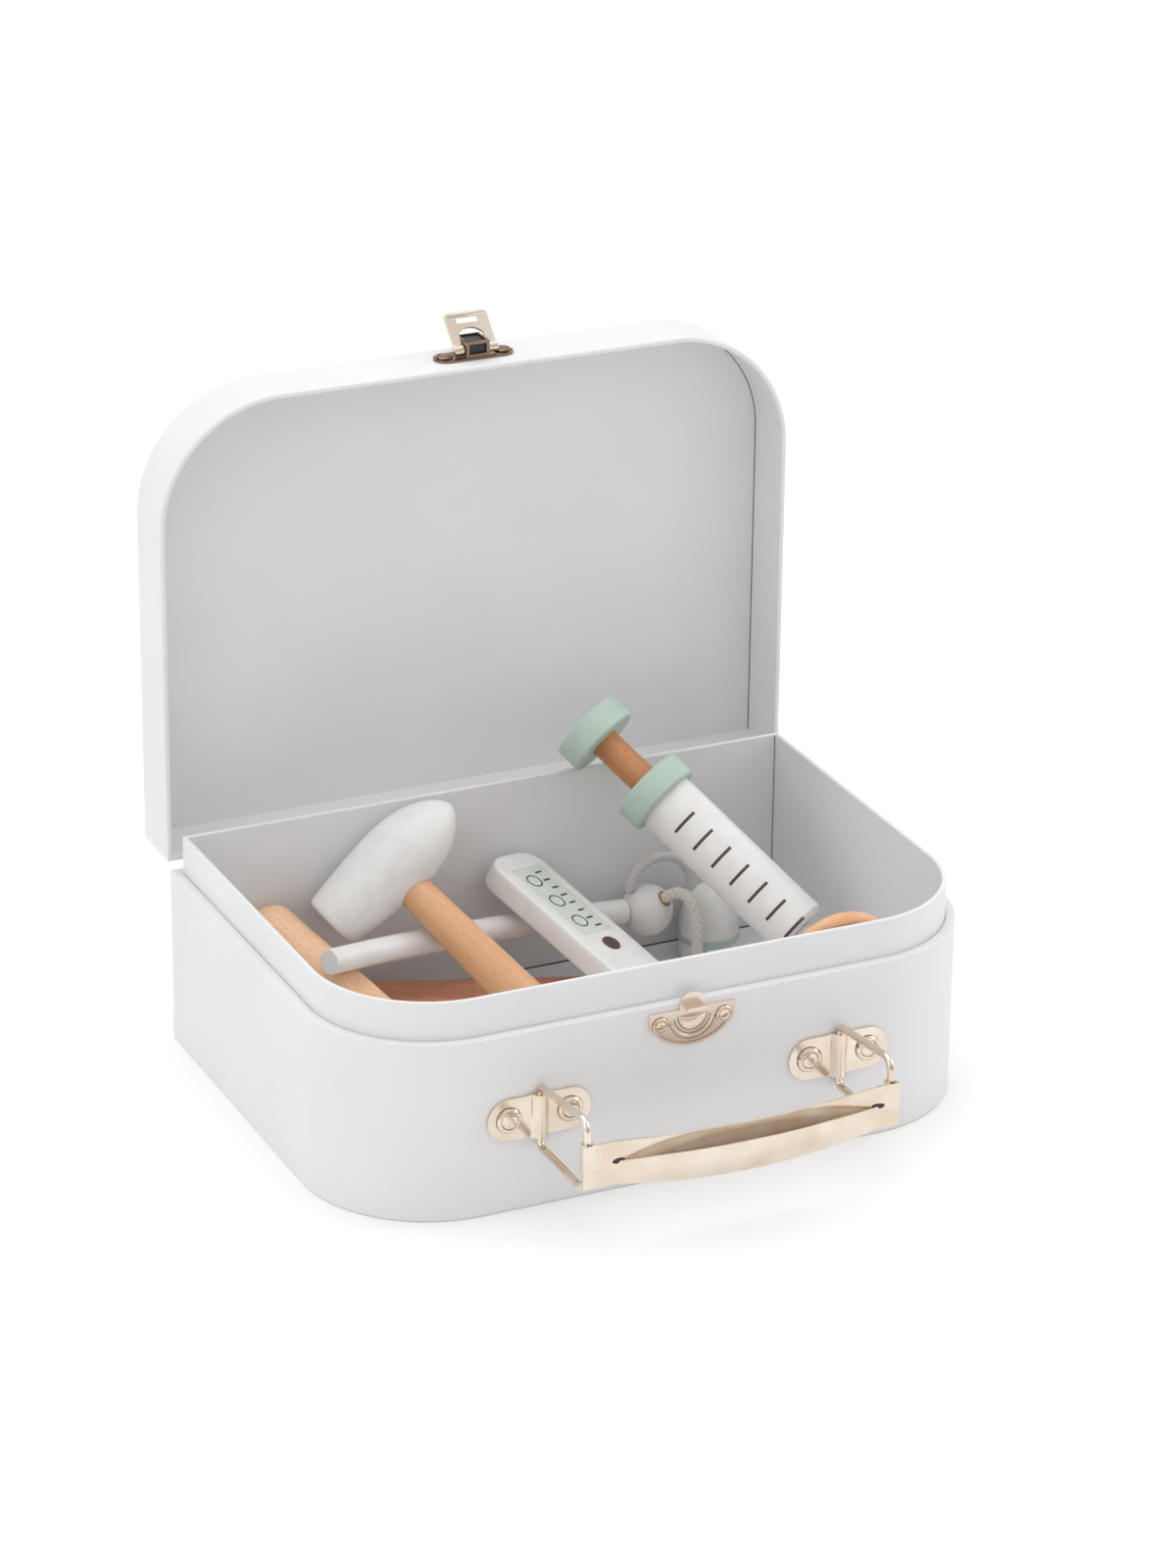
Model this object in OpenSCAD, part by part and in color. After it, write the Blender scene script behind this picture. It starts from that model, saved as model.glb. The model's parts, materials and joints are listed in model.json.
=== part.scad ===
// Toy doctor case: a small suitcase of paper-covered board that stands open, with its
// metal fittings and the wooden and plastic toy instruments that lie in it.
// The origin is the middle of the underside. +X is to the right, +Y to the back and +Z up.
// The lid is drawn open, as the case stands.

/* [Case] */
// Outside width of the case
case_w = 250; // [230:1:300]
// Outside depth of the case, front to back
case_d = 174; // [165:1:200]
// Height of the outer wall
wall_h = 68; // [62:0.5:80]
// Outside radius of the two front corners
corner_r = 47.3; // [30:0.1:60]
// Thickness of the outer wall board
wall_t = 3.6; // [2.4:0.1:4.2]
// Thickness of the bottom board
floor_t = 3; // [2:0.1:4]
// Thickness of the inner collar board
collar_t = 1.75; // [1.2:0.05:2.2]
// How far the collar stands above the outer wall
collar_rise = 14.3; // [8:0.1:16]

/* [Lid] */
// Depth of the lid, edge to top
lid_h = 24; // [22:0.5:32]
// Thickness of the lid board
lid_t = 2; // [1.4:0.1:2.4]
// Gap between the closed lid's edge and the wall
lid_gap = 0.2; // [0.1:0.05:0.4]

/* [Hinges] */
// Distance from the middle of the case to each hinge
hinge_x = 72; // [50:1:95]
// Width of one hinge leaf
hinge_w = 30; // [20:1:40]
// Height of one hinge leaf
hinge_leaf_h = 13; // [9:0.5:16]
// Distance from the back wall to the hinge pin
hinge_out = 1.9; // [1.8:0.05:2.4]
// Radius of the hinge pin
hinge_pin_r = 0.8; // [0.6:0.05:0.9]

/* [Fittings] */
// Place of the catch and the handle, to the right of the middle
fit_x = 1.7; // [-5:0.1:5]
// Thickness of the sheet metal
sheet_t = 0.9; // [0.7:0.05:1.1]
// Width of the catch plate
catch_w = 33; // [29:0.5:38]
// Height of the catch plate
catch_h = 14; // [12:0.5:17]
// Distance from the wall's top edge down to the catch plate
catch_drop = 2.8; // [2:0.1:5]
// Width of the hasp plate on the lid
hasp_w = 31; // [27:0.5:36]
// Height of the hasp plate
hasp_h = 9.6; // [8:0.1:12]
// Distance from the lid's edge to the hasp pin
hasp_up = 9.8; // [9.4:0.1:10.6]
// Height of the hasp pin above its plate
hasp_pin_out = 2.6; // [2.3:0.1:3]
// Radius of the hasp pin
hasp_pin_r = 0.9; // [0.7:0.05:1.1]
// Width of the hasp housing
housing_w = 9.2; // [8:0.1:10.4]
// Length of the hasp flap from its pin
flap_l = 14; // [13.6:0.1:14.6]
// Angle of the open flap above the lid's front
flap_angle = 46; // [40:1:60]

/* [Handle] */
// Distance between the two handle rings
ring_pitch = 116; // [100:1:130]
// Height of the handle's middle above the table
handle_z = 35.8; // [33:0.1:42]
// Reach of each ring from its knuckle
ring_reach = 38; // [34:0.5:44]
// Diameter of the ring wire
wire_d = 2.8; // [2.4:0.1:3.2]
// Distance between the two rivets of a bracket
rivet_pitch = 23.2; // [21:0.1:27]
// Height of a bracket
bracket_h = 16.8; // [15:0.1:18]
// Height of the grip at its ends
grip_h = 16.4; // [15:0.1:19]
// How far the grip's lower lip bulges out
grip_bulge = 3.9; // [1:0.1:5]

/* [Hammer] */
// Distance from the middle to the hammer head's centre, leftwards
hammer_left = 46.4; // [40:0.2:52]
// Height of the head's centre above the case floor
hammer_up = 60.4; // [56:0.2:64]
// Greatest radius of the head
head_r = 14.3; // [12:0.1:15]
// Radius of the handle where it enters the head
hammer_tenon_r = 6.6; // [5.5:0.1:7]
// Radius of the handle at its foot
hammer_foot_r = 9; // [7.6:0.1:9.4]

/* [Thermometer] */
// Width of the thermometer
thermo_w = 27.5; // [24:0.5:30]
// Thickness of the thermometer
thermo_t = 10; // [8:0.5:11]
// Length of the thermometer
thermo_l = 121; // [112:1:126]
// Length of the printed panel
panel_l = 40; // [30:1:46]
// Diameter of the button
button_d = 7.2; // [6:0.2:12]

/* [Syringe] */
// Radius of the barrel
barrel_r = 11.7; // [10.8:0.1:12]
// Wall thickness of the barrel
barrel_t = 1.6; // [1.2:0.1:2.2]
// Length of the barrel that shows
barrel_l = 68; // [60:1:70]
// Radius of the finger collar
finger_r = 15; // [14:0.1:15.4]
// Length of the finger collar
finger_l = 10.6; // [8:0.2:11.6]
// Radius of the knob
knob_r = 14.65; // [13:0.05:15]
// Length of the knob
knob_l = 10.4; // [8:0.2:11]
// Radius of the plunger rod
rod_r = 5.75; // [4.5:0.05:6.5]
// Length of rod that shows between knob and collar
rod_show = 21.4; // [15:0.2:22]
// Travel of the plunger
plunger_travel = 20.5; // [10:0.5:20.5]
// Length of the nozzle
nozzle_l = 11; // [6:0.5:12]

/* [Stethoscope] */
// Radius of the white arm
arm_r = 4.75; // [4:0.05:4.9]
// Radius of the bead
bead_r = 10; // [9:0.1:10.6]
// Radius of the chest piece
chest_r = 11.5; // [10:0.1:12]
// Height of the chest piece
chest_h = 29; // [26:0.5:30]
// Diameter of the braided cord
cord_d = 4.8; // [4:0.1:5]
// Diameter of the thin arch
arch_d = 3.8; // [3:0.1:4]

/* [Loose wood] */
// Radius of the wooden handle
stick_r = 9; // [7.5:0.1:9.4]
// Length of the wooden bar
bar_l = 98; // [80:1:102]
// Width of the wooden bar
bar_w = 18; // [14:0.5:20]
// Thickness of the wooden bar
bar_t = 12.8; // [9:0.2:13]

/* [Hand mirror] */
// Radius of the round frame's centre line
mirror_r = 19; // [16:0.5:20]
// Thickness of the round frame
frame_d = 6; // [5:0.1:6.4]

/* [Hidden] */

$fn = 64;
// Glue line between boards, running clearance round pins, and the gap of a loose seat
glue = 0.05;
run = 0.05;
rest_gap = 0.3;

// Colours
paper = [0.90, 0.90, 0.91];
gold = [0.86, 0.77, 0.64];
beech = [0.80, 0.52, 0.33];
red_wood = [0.60, 0.35, 0.26];
white = [0.93, 0.92, 0.91];
mint = [0.62, 0.75, 0.68];
brown = [0.25, 0.17, 0.16];
mirror_grey = [0.80, 0.82, 0.84];

// Places that follow from the case
front_y = -case_d / 2;
back_y = case_d / 2;
collar_in = wall_t + glue;
lining_in = collar_in + collar_t;
lining_back = back_y - lining_in;
lining_front = -lining_back;
rim_z = wall_h + collar_rise;
lid_edge_z = wall_h + lid_gap;
lid_top_z = lid_edge_z + lid_h;
pin_y = back_y + hinge_out;
pin_z = wall_h + lid_gap / 2;

function unit(v) = v / norm(v);

// Puts children with their Z along one direction and their X towards another
module set_at(origin, z_way, x_way) {
    z = unit(z_way);
    y = unit(cross(z, x_way));
    x = cross(y, z);
    multmatrix([[x.x, y.x, z.x, origin.x],
                [x.y, y.y, z.y, origin.y],
                [x.z, y.z, z.z, origin.z],
                [0, 0, 0, 1]]) children();
}

// Turns what is drawn on the closed lid to the open lid
module on_lid() {
    translate([0, pin_y, pin_z]) rotate([-90, 0, 0]) translate([0, -pin_y, -pin_z]) children();
}

// Outline of the case, drawn in by a distance: square at the back, round at the front
module case_outline(inset) {
    half_w = case_w / 2 - inset;
    half_d = case_d / 2 - inset;
    r = max(corner_r - inset, 1);
    translate([-half_w, -half_d + r]) square([2 * half_w, 2 * half_d - r]);
    translate([-half_w + r, -half_d]) square([2 * half_w - 2 * r, 2 * half_d - r]);
    for (side = [-1, 1]) translate([side * (half_w - r), -half_d + r]) circle(r, $fn = 96);
}

module board_ring(outer_inset, thick, z0, z1) {
    translate([0, 0, z0]) linear_extrude(z1 - z0) difference() {
        case_outline(outer_inset);
        case_outline(outer_inset + thick);
    }
}

// Front and sides of a board wall, which end at the back board
module board_band(thick, z0, z1) {
    translate([0, 0, z0]) linear_extrude(z1 - z0) intersection() {
        difference() {
            case_outline(0);
            case_outline(thick);
            translate([-case_w / 2 + thick, 0]) square([case_w - 2 * thick, case_d]);
        }
        translate([-case_w, back_y - thick - 2 * case_d]) square([2 * case_w, 2 * case_d]);
    }
}

module base_floor() {
    color(paper) linear_extrude(floor_t) case_outline(wall_t + glue);
}

module base_band() {
    color(paper) board_band(wall_t, 0, wall_h);
}

module base_back() {
    color(paper) translate([-case_w / 2, back_y - wall_t, 0]) cube([case_w, wall_t, wall_h]);
}

module inner_collar() {
    color(paper) board_ring(collar_in, collar_t, floor_t, rim_z);
}

module lid_panel() {
    color(paper) on_lid() translate([0, 0, lid_top_z - lid_t])
        linear_extrude(lid_t) case_outline(lid_t + glue);
}

module lid_band() {
    color(paper) on_lid() board_band(lid_t, lid_edge_z, lid_top_z);
}

module lid_back() {
    color(paper) on_lid() translate([-case_w / 2, back_y - lid_t, lid_edge_z])
        cube([case_w, lid_t, lid_h]);
}

// Hinges: each has two outer knuckles on the base leaf and a middle one on the lid leaf
leaf_t = 0.6;
knuckle_r = hinge_out - 0.2;
knuckle_l = hinge_w / 3;
knuckle_gap = 0.2;
leaf_rivet_x = hinge_w / 2 - 5;
leaf_rivet_drop = hinge_leaf_h - 3.6;
leaf_rivet_r = 1.9;
leaf_rivet_head = 0.8;
leaf_hole_r = 1;

// One knuckle with the strip that joins it to its leaf, drawn on the back wall and pointing down
module knuckle_strip(l, strip_z) {
    difference() {
        union() {
            translate([-l / 2, hinge_out, 0]) rotate([0, 90, 0]) cylinder(r = knuckle_r, h = l);
            translate([-l / 2, 0, strip_z]) cube([l, leaf_t, -strip_z]);
        }
        translate([-l, hinge_out, 0]) rotate([0, 90, 0]) cylinder(r = hinge_pin_r + run, h = 2 * l);
    }
}

// A leaf hangs from the pin's line; its top stays below the other leaf's knuckles
module leaf_plate(top_gap) {
    difference() {
        translate([-hinge_w / 2, 0, -hinge_leaf_h]) cube([hinge_w, leaf_t, hinge_leaf_h - top_gap]);
        for (side = [-1, 1]) translate([side * leaf_rivet_x, -1, -leaf_rivet_drop])
            rotate([-90, 0, 0]) cylinder(r = leaf_hole_r, h = 3);
    }
}

leaf_top_gap = knuckle_r + 0.4;

module leaf_lower() {
    leaf_plate(leaf_top_gap);
    for (side = [-1, 1]) translate([side * knuckle_l, 0, 0])
        knuckle_strip(knuckle_l - knuckle_gap, -leaf_top_gap - 1);
}

module leaf_upper() {
    leaf_plate(leaf_top_gap);
    knuckle_strip(knuckle_l - knuckle_gap, -leaf_top_gap - 1);
}

module leaf_rivets() {
    for (side = [-1, 1]) translate([side * leaf_rivet_x, leaf_t, -leaf_rivet_drop])
        rotate([-90, 0, 0]) rivet_button(leaf_rivet_r, leaf_rivet_head, leaf_hole_r - run, leaf_t);
}

module hinge_leaves_lower() {
    color(gold) for (side = [-1, 1]) translate([side * hinge_x, back_y, pin_z]) leaf_lower();
}

module hinge_leaves_upper() {
    color(gold) on_lid() for (side = [-1, 1])
        translate([side * hinge_x, back_y, pin_z]) mirror([0, 0, 1]) leaf_upper();
}

module hinge_pins() {
    color(gold) for (side = [-1, 1]) translate([side * hinge_x - hinge_w / 2, pin_y, pin_z])
        rotate([0, 90, 0]) cylinder(r = hinge_pin_r, h = hinge_w);
}

module hinge_rivets_base() {
    color(gold) for (side = [-1, 1]) translate([side * hinge_x, back_y, pin_z]) leaf_rivets();
}

module hinge_rivets_lid() {
    color(gold) on_lid() for (side = [-1, 1])
        translate([side * hinge_x, back_y, pin_z]) mirror([0, 0, 1]) leaf_rivets();
}

// Rivet along Z: a low dome with a groove near its edge, and a shank that fills the sheet's hole
module rivet_button(r, h, shank_r, shank_l) {
    rotate_extrude() polygon([[0, -shank_l], [shank_r, -shank_l], [shank_r, 0], [r, 0], [r, 0.45 * h],
        [0.86 * r, 0.8 * h], [0.72 * r, 0.8 * h], [0.66 * r, 0.5 * h], [0.58 * r, 0.85 * h],
        [0.3 * r, h], [0, h]]);
}

// Catch on the front wall
catch_top_z = wall_h - catch_drop;
catch_arc_r = 0.6 * catch_w;
catch_rivet_x = catch_w / 2 - 4.2;
catch_rivet_z = catch_top_z - 4.6;
small_rivet_r = 3.1;
small_rivet_head = 1.1;
small_hole_r = 1.1;
hasp_pin_z = lid_edge_z + hasp_up;
slot_s = flap_l - 2.5;
lip_z = hasp_pin_z - slot_s;
lip_w = 7.4;
lip_t = 1.2;
hood_w = 9.4;
hood_top = 3.2;
dome_out = 1.6;
flap_y = front_y - sheet_t - hasp_pin_out;
lip_out = front_y - flap_y + 1.6;

module catch_outline() {
    intersection() {
        translate([-catch_w / 2, -catch_h]) square([catch_w, catch_h]);
        translate([0, catch_arc_r - catch_h]) circle(catch_arc_r, $fn = 128);
    }
}

// Drawn on the front wall, seen from the front with Y up and Z towards the viewer
module on_front(z) {
    translate([fit_x, front_y, z]) rotate([90, 0, 0]) children();
}

module catch_plate() {
    color(gold) difference() {
        union() {
            on_front(catch_top_z) linear_extrude(sheet_t) catch_outline();
            // Hood that stands above the plate, behind the flap
            on_front(catch_top_z) linear_extrude(sheet_t) intersection() {
                translate([-hood_w / 2, -2]) square([hood_w, 2 + wall_h - catch_top_z + hood_top]);
                translate([0, wall_h - catch_top_z + hood_top - hood_w * 0.62]) circle(hood_w * 0.62);
            }
            // Lip that the flap's slot goes over
            on_front(lip_z) translate([-lip_w / 2, -lip_t / 2, 0]) cube([lip_w, lip_t, lip_out]);
            // Pressed half dome under the lip
            on_front(catch_top_z - 2.6) intersection() {
                translate([0, 0, -7.4]) sphere(r = 7.4 + sheet_t + dome_out);
                translate([-9, -10, sheet_t / 2]) cube([18, 10, 8]);
            }
        }
        // The sheet stands clear of the lid above the wall's top
        translate([fit_x - hood_w, front_y - 0.25, wall_h - 0.3]) cube([2 * hood_w, 1, 2 * hood_top]);
        for (side = [-1, 1]) translate([fit_x + side * catch_rivet_x, front_y + 1, catch_rivet_z])
            rotate([90, 0, 0]) cylinder(r = small_hole_r, h = 3);
    }
}

module catch_rivets() {
    color(gold) for (side = [-1, 1])
        translate([fit_x + side * catch_rivet_x, front_y - sheet_t, catch_rivet_z])
            rotate([90, 0, 0]) rivet_button(small_rivet_r, small_rivet_head, small_hole_r - run, sheet_t);
}

// Hasp on the lid's front. It is placed on the closed lid and turned open with it.
hasp_low = hasp_pin_z - 3;
hasp_rivet_x = hasp_w / 2 - 4;
hasp_rivet_z = hasp_low + hasp_h / 2;
housing_t = 0.9;
housing_l = 10;
housing_h = 6;
leg_w = 3.6;
leg_gap = 0.3;
flap_w = housing_w + 2 * leg_gap + 2 * leg_w;
window_straight = housing_h - 0.4;
window_arch = 2.7;
eye_r = 1.9;

module hasp_plate() {
    color(gold) on_lid() difference() {
        on_front(hasp_low) linear_extrude(sheet_t) union() {
            translate([-hasp_w / 2 + hasp_h / 2, 0]) square([hasp_w - hasp_h, hasp_h]);
            for (side = [-1, 1]) translate([side * (hasp_w / 2 - hasp_h / 2), hasp_h / 2])
                circle(hasp_h / 2);
        }
        for (side = [-1, 1]) translate([fit_x + side * hasp_rivet_x, front_y + 1, hasp_rivet_z])
            rotate([90, 0, 0]) cylinder(r = small_hole_r, h = 3);
    }
}

// Box of sheet that carries the flap's pin: open on top, with a window towards the lid's edge
module hasp_housing() {
    window_w = housing_w - 2.4;
    color(gold) on_lid() difference() {
        on_front(hasp_low + 0.4) translate([-housing_w / 2, 0, sheet_t])
            cube([housing_w, housing_l, housing_h]);
        on_front(hasp_low + 0.4) translate([-housing_w / 2 + housing_t, housing_t, sheet_t + housing_t])
            cube([housing_w - 2 * housing_t, housing_l - 2 * housing_t, housing_h]);
        on_front(hasp_low - 1) translate([-window_w / 2, 0, sheet_t + housing_t + 0.4])
            cube([window_w, 3, housing_h - housing_t - 1.4]);
        translate([fit_x - housing_w, flap_y, hasp_pin_z]) rotate([0, 90, 0])
            cylinder(r = hasp_pin_r + run, h = 2 * housing_w);
    }
}

module hasp_pin() {
    color(gold) on_lid() translate([fit_x - flap_w / 2 - 0.5, flap_y, hasp_pin_z]) rotate([0, 90, 0])
        cylinder(r = hasp_pin_r, h = flap_w + 1);
}

module hasp_rivets() {
    color(gold) on_lid() for (side = [-1, 1])
        translate([fit_x + side * hasp_rivet_x, front_y - sheet_t, hasp_rivet_z])
            rotate([90, 0, 0]) rivet_button(small_rivet_r, small_rivet_head, small_hole_r - run, sheet_t);
}

// Flap along X from its pin: two legs, a round-headed window, a slot and a curled tip
module flap_shape() {
    window_w = housing_w + 2 * leg_gap;
    round_r = (window_w * window_w / 4 + window_arch * window_arch) / (2 * window_arch);
    difference() {
        union() {
            translate([-flap_w / 2, 0, -sheet_t / 2]) cube([flap_w, flap_l, sheet_t]);
            rotate([0, 90, 0]) translate([0, 0, -flap_w / 2]) cylinder(r = eye_r, h = flap_w);
            translate([-flap_w / 2 + 1, flap_l, 0]) rotate([0, 90, 0]) cylinder(r = 1.1, h = flap_w - 2);
        }
        translate([-window_w / 2, -3, -3]) cube([window_w, 3 + window_straight, 6]);
        translate([0, window_straight, 0]) intersection() {
            translate([0, window_arch - round_r, 0]) cylinder(r = round_r, h = 6, center = true);
            translate([-window_w / 2, -1, -3]) cube([window_w, window_arch + 2, 6]);
        }
        translate([-(lip_w + 0.8) / 2, slot_s - lip_t / 2 - 0.45, -2]) cube([lip_w + 0.8, lip_t + 0.9, 4]);
        rotate([0, 90, 0]) translate([0, 0, -flap_w]) cylinder(r = hasp_pin_r + run, h = 2 * flap_w);
    }
}

// The flap's own Y runs from its pin to its tip
module hasp_flap() {
    color(gold) on_lid() translate([fit_x, flap_y, hasp_pin_z]) rotate([90 + flap_angle, 0, 0])
        flap_shape();
}

// Handle brackets: a strap with round ends and a knuckle round the ring's wire
knuckle_y = front_y - wire_d / 2 - 0.1;
bracket_end_r = bracket_h / 2 - 0.4;
big_rivet_r = 4.7;
big_rivet_head = 1.5;
big_hole_r = 1.6;
knuckle_foot = 2.6 * wire_d / 2;
knuckle_top = 1.45 * wire_d / 2;
ring_x = ring_pitch / 2;

module bracket(x) {
    translate([x, 0, handle_z]) difference() {
        union() {
            translate([0, front_y, 0]) rotate([90, 0, 0]) linear_extrude(sheet_t) union() {
                translate([-rivet_pitch / 2, -bracket_end_r]) square([rivet_pitch, 2 * bracket_end_r]);
                for (side = [-1, 1]) translate([side * rivet_pitch / 2, 0]) circle(bracket_end_r);
            }
            translate([0, knuckle_y, -bracket_h / 2])
                cylinder(r = wire_d / 2 + run + sheet_t, h = bracket_h);
            // The strap rises to its knuckle on two flanks
            translate([0, front_y, -bracket_h / 2]) linear_extrude(bracket_h) polygon([
                [-knuckle_foot, -sheet_t / 2], [-knuckle_top, -1.9 * wire_d / 2],
                [knuckle_top, -1.9 * wire_d / 2], [knuckle_foot, -sheet_t / 2]]);
        }
        translate([-10, front_y, -bracket_h]) cube([20, 10, 2 * bracket_h]);
        translate([0, knuckle_y, -bracket_h]) cylinder(r = wire_d / 2 + run, h = 2 * bracket_h);
        for (side = [-1, 1]) translate([side * rivet_pitch / 2, front_y + 1, 0])
            rotate([90, 0, 0]) cylinder(r = big_hole_r, h = 3);
    }
}

module bracket_left() {
    color(gold) bracket(fit_x - ring_x);
}

module bracket_right() {
    color(gold) bracket(fit_x + ring_x);
}

module bracket_rivets() {
    color(gold) for (ring = [-1, 1]) for (side = [-1, 1])
        translate([fit_x + ring * ring_x + side * rivet_pitch / 2, front_y - sheet_t, handle_z])
            rotate([90, 0, 0]) rivet_button(big_rivet_r, big_rivet_head, big_hole_r - run, sheet_t);
}

// The grip hangs a little below the middle of its rings
grip_drop = 1.2;
grip_up = grip_h / 2 - grip_drop;

// Ring of bent wire: corners in its own plane, out from the knuckle and up, each with its bend radius
ring_low = bracket_h / 2 + 3.6;
ring_high = bracket_h / 2 + 2.5;
ring_corners = [[0, -ring_low], [0, ring_high], [ring_reach, grip_up + 8.3], [ring_reach, -ring_low + 0.3]];
ring_bends = [2.5, 2.2, 4.5, 8];

// Points of a closed wire in its own plane: an arc at each corner, straight between them
bend_steps = 6;
function ring_path(corners, bends) = let (n = len(corners)) [for (i = [0 : n - 1])
    let (
        here = corners[i],
        to_last = unit(corners[(i + n - 1) % n] - here),
        to_next = unit(corners[(i + 1) % n] - here),
        half = acos(to_last * to_next) / 2,
        middle = here + unit(to_last + to_next) * bends[i] / sin(half),
        start = here + to_last * bends[i] / tan(half) - middle,
        sweep = -(180 - 2 * half))
    for (k = [0 : bend_steps]) let (a = sweep * k / bend_steps)
        middle + [start.x * cos(a) - start.y * sin(a), start.x * sin(a) + start.y * cos(a)]];

// Round wire along a closed path, in the plane of X and Y
module wire_loop(path, r, sides) {
    n = len(path);
    points = [for (i = [0 : n - 1])
        let (
            along = unit(unit(path[(i + 1) % n] - path[i]) + unit(path[i] - path[(i + n - 1) % n])),
            out = [along.y, -along.x])
        for (k = [0 : sides - 1]) let (a = 360 * (k + 0.5) / sides)
            [path[i].x + r * cos(a) * out.x, path[i].y + r * cos(a) * out.y, r * sin(a)]];
    walls = [for (i = [0 : n - 1]) for (k = [0 : sides - 1])
        let (i2 = (i + 1) % n, k2 = (k + 1) % sides)
        each [[i * sides + k, i * sides + k2, i2 * sides + k],
              [i * sides + k2, i2 * sides + k2, i2 * sides + k]]];
    polyhedron(points, walls, convexity = 6);
}

// The wire turns in its knuckle and in the grip's eye on true round lengths
module ring_wire(x) {
    r = wire_d / 2;
    translate([x, knuckle_y, handle_z]) {
        rotate([90, 0, -90]) wire_loop(ring_path(ring_corners, ring_bends), r - 0.02, 16);
        translate([0, 0, -bracket_h / 2 - 0.4]) cylinder(r = r, h = bracket_h + 0.7);
        translate([0, -ring_reach, eye_low - 0.1]) cylinder(r = r, h = grip_up - eye_low + 2);
    }
}

module ring_left() {
    color(gold) ring_wire(fit_x - ring_x);
}

module ring_right() {
    color(gold) ring_wire(fit_x + ring_x);
}

// Grip: a strip of sheet, slit along its middle and pressed open into two lips
grip_y = knuckle_y - ring_reach;
grip_eye_r = wire_d / 2 + run + sheet_t;
grip_front = grip_y - grip_eye_r;
grip_half_l = ring_x + 2.6;
grip_z = handle_z - grip_drop;
slit_side = 2.5;
slit_half_l = grip_half_l - 10.5;
eye_low = -ring_low + 0.3 + 8.4;
lip_steps = 28;
lip_rows = 7;

// How far the lips are pressed open at a place along the grip: nothing at the slit's ends
function lip_open(x) = max(0, 1 - pow((x - slit_side) / slit_half_l, 2));

// Point of a lip: t runs from its outer hem to the slit. The upper lip turns in behind the lower one.
slit_up = 0.6;
function upper_lip(x, t) = let (w = lip_open(x)) [
    x,
    w * (0.8 * sin(180 * t) - 5 * (1 - cos(90 * t))),
    (grip_h / 2 - 3 * w) * (1 - t) + (slit_up - 4.5 * w) * t];
function lower_lip(x, t) = let (w = lip_open(x)) [
    x,
    w * (1 + grip_bulge * sin(140 * t)),
    -(grip_h / 2 + 4.5 * w) * (1 - t) + slit_up * t];

// Sheet between two faces that are the same grid of points, one thickness apart along Y
module sheet_between(grid, thick) {
    rows = len(grid);
    cols = len(grid[0]);
    front = [for (row = grid) for (p = row) [p.x, grip_front + sheet_t - p.y - thick, grip_z + p.z]];
    back = [for (p = front) p + [0, thick, 0]];
    m = rows * cols;
    function at(i, j) = i * cols + j;
    faces = concat(
        [for (i = [0 : rows - 2]) for (j = [0 : cols - 2])
            [at(i, j), at(i, j + 1), at(i + 1, j + 1)]],
        [for (i = [0 : rows - 2]) for (j = [0 : cols - 2])
            [at(i, j), at(i + 1, j + 1), at(i + 1, j)]],
        [for (i = [0 : rows - 2]) for (j = [0 : cols - 2])
            [m + at(i, j), m + at(i + 1, j + 1), m + at(i, j + 1)]],
        [for (i = [0 : rows - 2]) for (j = [0 : cols - 2])
            [m + at(i, j), m + at(i + 1, j), m + at(i + 1, j + 1)]],
        [for (i = [0 : rows - 2]) [at(i, 0), at(i + 1, 0), m + at(i + 1, 0), m + at(i, 0)]],
        [for (i = [0 : rows - 2]) let (j = cols - 1)
            [at(i + 1, j), at(i, j), m + at(i, j), m + at(i + 1, j)]],
        [for (j = [0 : cols - 2]) [at(0, j + 1), at(0, j), m + at(0, j), m + at(0, j + 1)]],
        [for (j = [0 : cols - 2]) let (i = rows - 1)
            [at(i, j), at(i, j + 1), m + at(i, j + 1), m + at(i, j)]]);
    polyhedron(concat(front, back), faces, convexity = 6);
}

function lip_grid(upper) = [for (i = [0 : lip_steps])
    let (x = slit_side + slit_half_l * (2 * i / lip_steps - 1)) [for (j = [0 : lip_rows - 1])
        upper ? upper_lip(x, 1 - j / (lip_rows - 1)) : lower_lip(x, j / (lip_rows - 1))]];

module handle_grip() {
    color(gold) translate([fit_x, 0, 0]) difference() {
        union() {
            sheet_between(lip_grid(true), sheet_t);
            sheet_between(lip_grid(false), sheet_t);
            for (side = [-1, 1]) {
                end_l = grip_half_l - slit_half_l - side * slit_side;
                translate([side * (grip_half_l - end_l / 2) - end_l / 2, grip_front, grip_z - grip_h / 2])
                    cube([end_l, sheet_t, grip_h]);
                translate([side * ring_x, grip_y, handle_z + eye_low])
                    cylinder(r = grip_eye_r, h = grip_up - eye_low);
            }
        }
        for (side = [-1, 1]) {
            translate([side * ring_x, grip_y, handle_z - grip_h])
                cylinder(r = wire_d / 2 + run, h = 2 * grip_h);
            // The slit ends in a round hole
            translate([slit_side + side * (slit_half_l + 0.6), grip_front - 2, grip_z + slit_up])
                rotate([-90, 0, 0]) cylinder(r = 1.3, h = 3.6, $fn = 24);
        }
    }
}

// Hammer: the head leans on the back lining and the handle's foot stands on the floor
head_axis = unit([0.754, -0.029, 0.656]);
hammer_way = unit([0.46, -0.69, -0.559]);
head_base_r = head_r - 2.3;
head_back_l = 32;
head_nose_l = 29;
head_shift = 3;
tenon_l = 17;
tenon_in = 7;
head_at = [-hammer_left, lining_back - head_r - 0.7, floor_t + hammer_up];
function foot_length(height, way, r) = (height - rest_gap - r * sqrt(1 - way.z * way.z)) / -way.z;
hammer_l = foot_length(hammer_up, hammer_way, hammer_foot_r);

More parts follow.
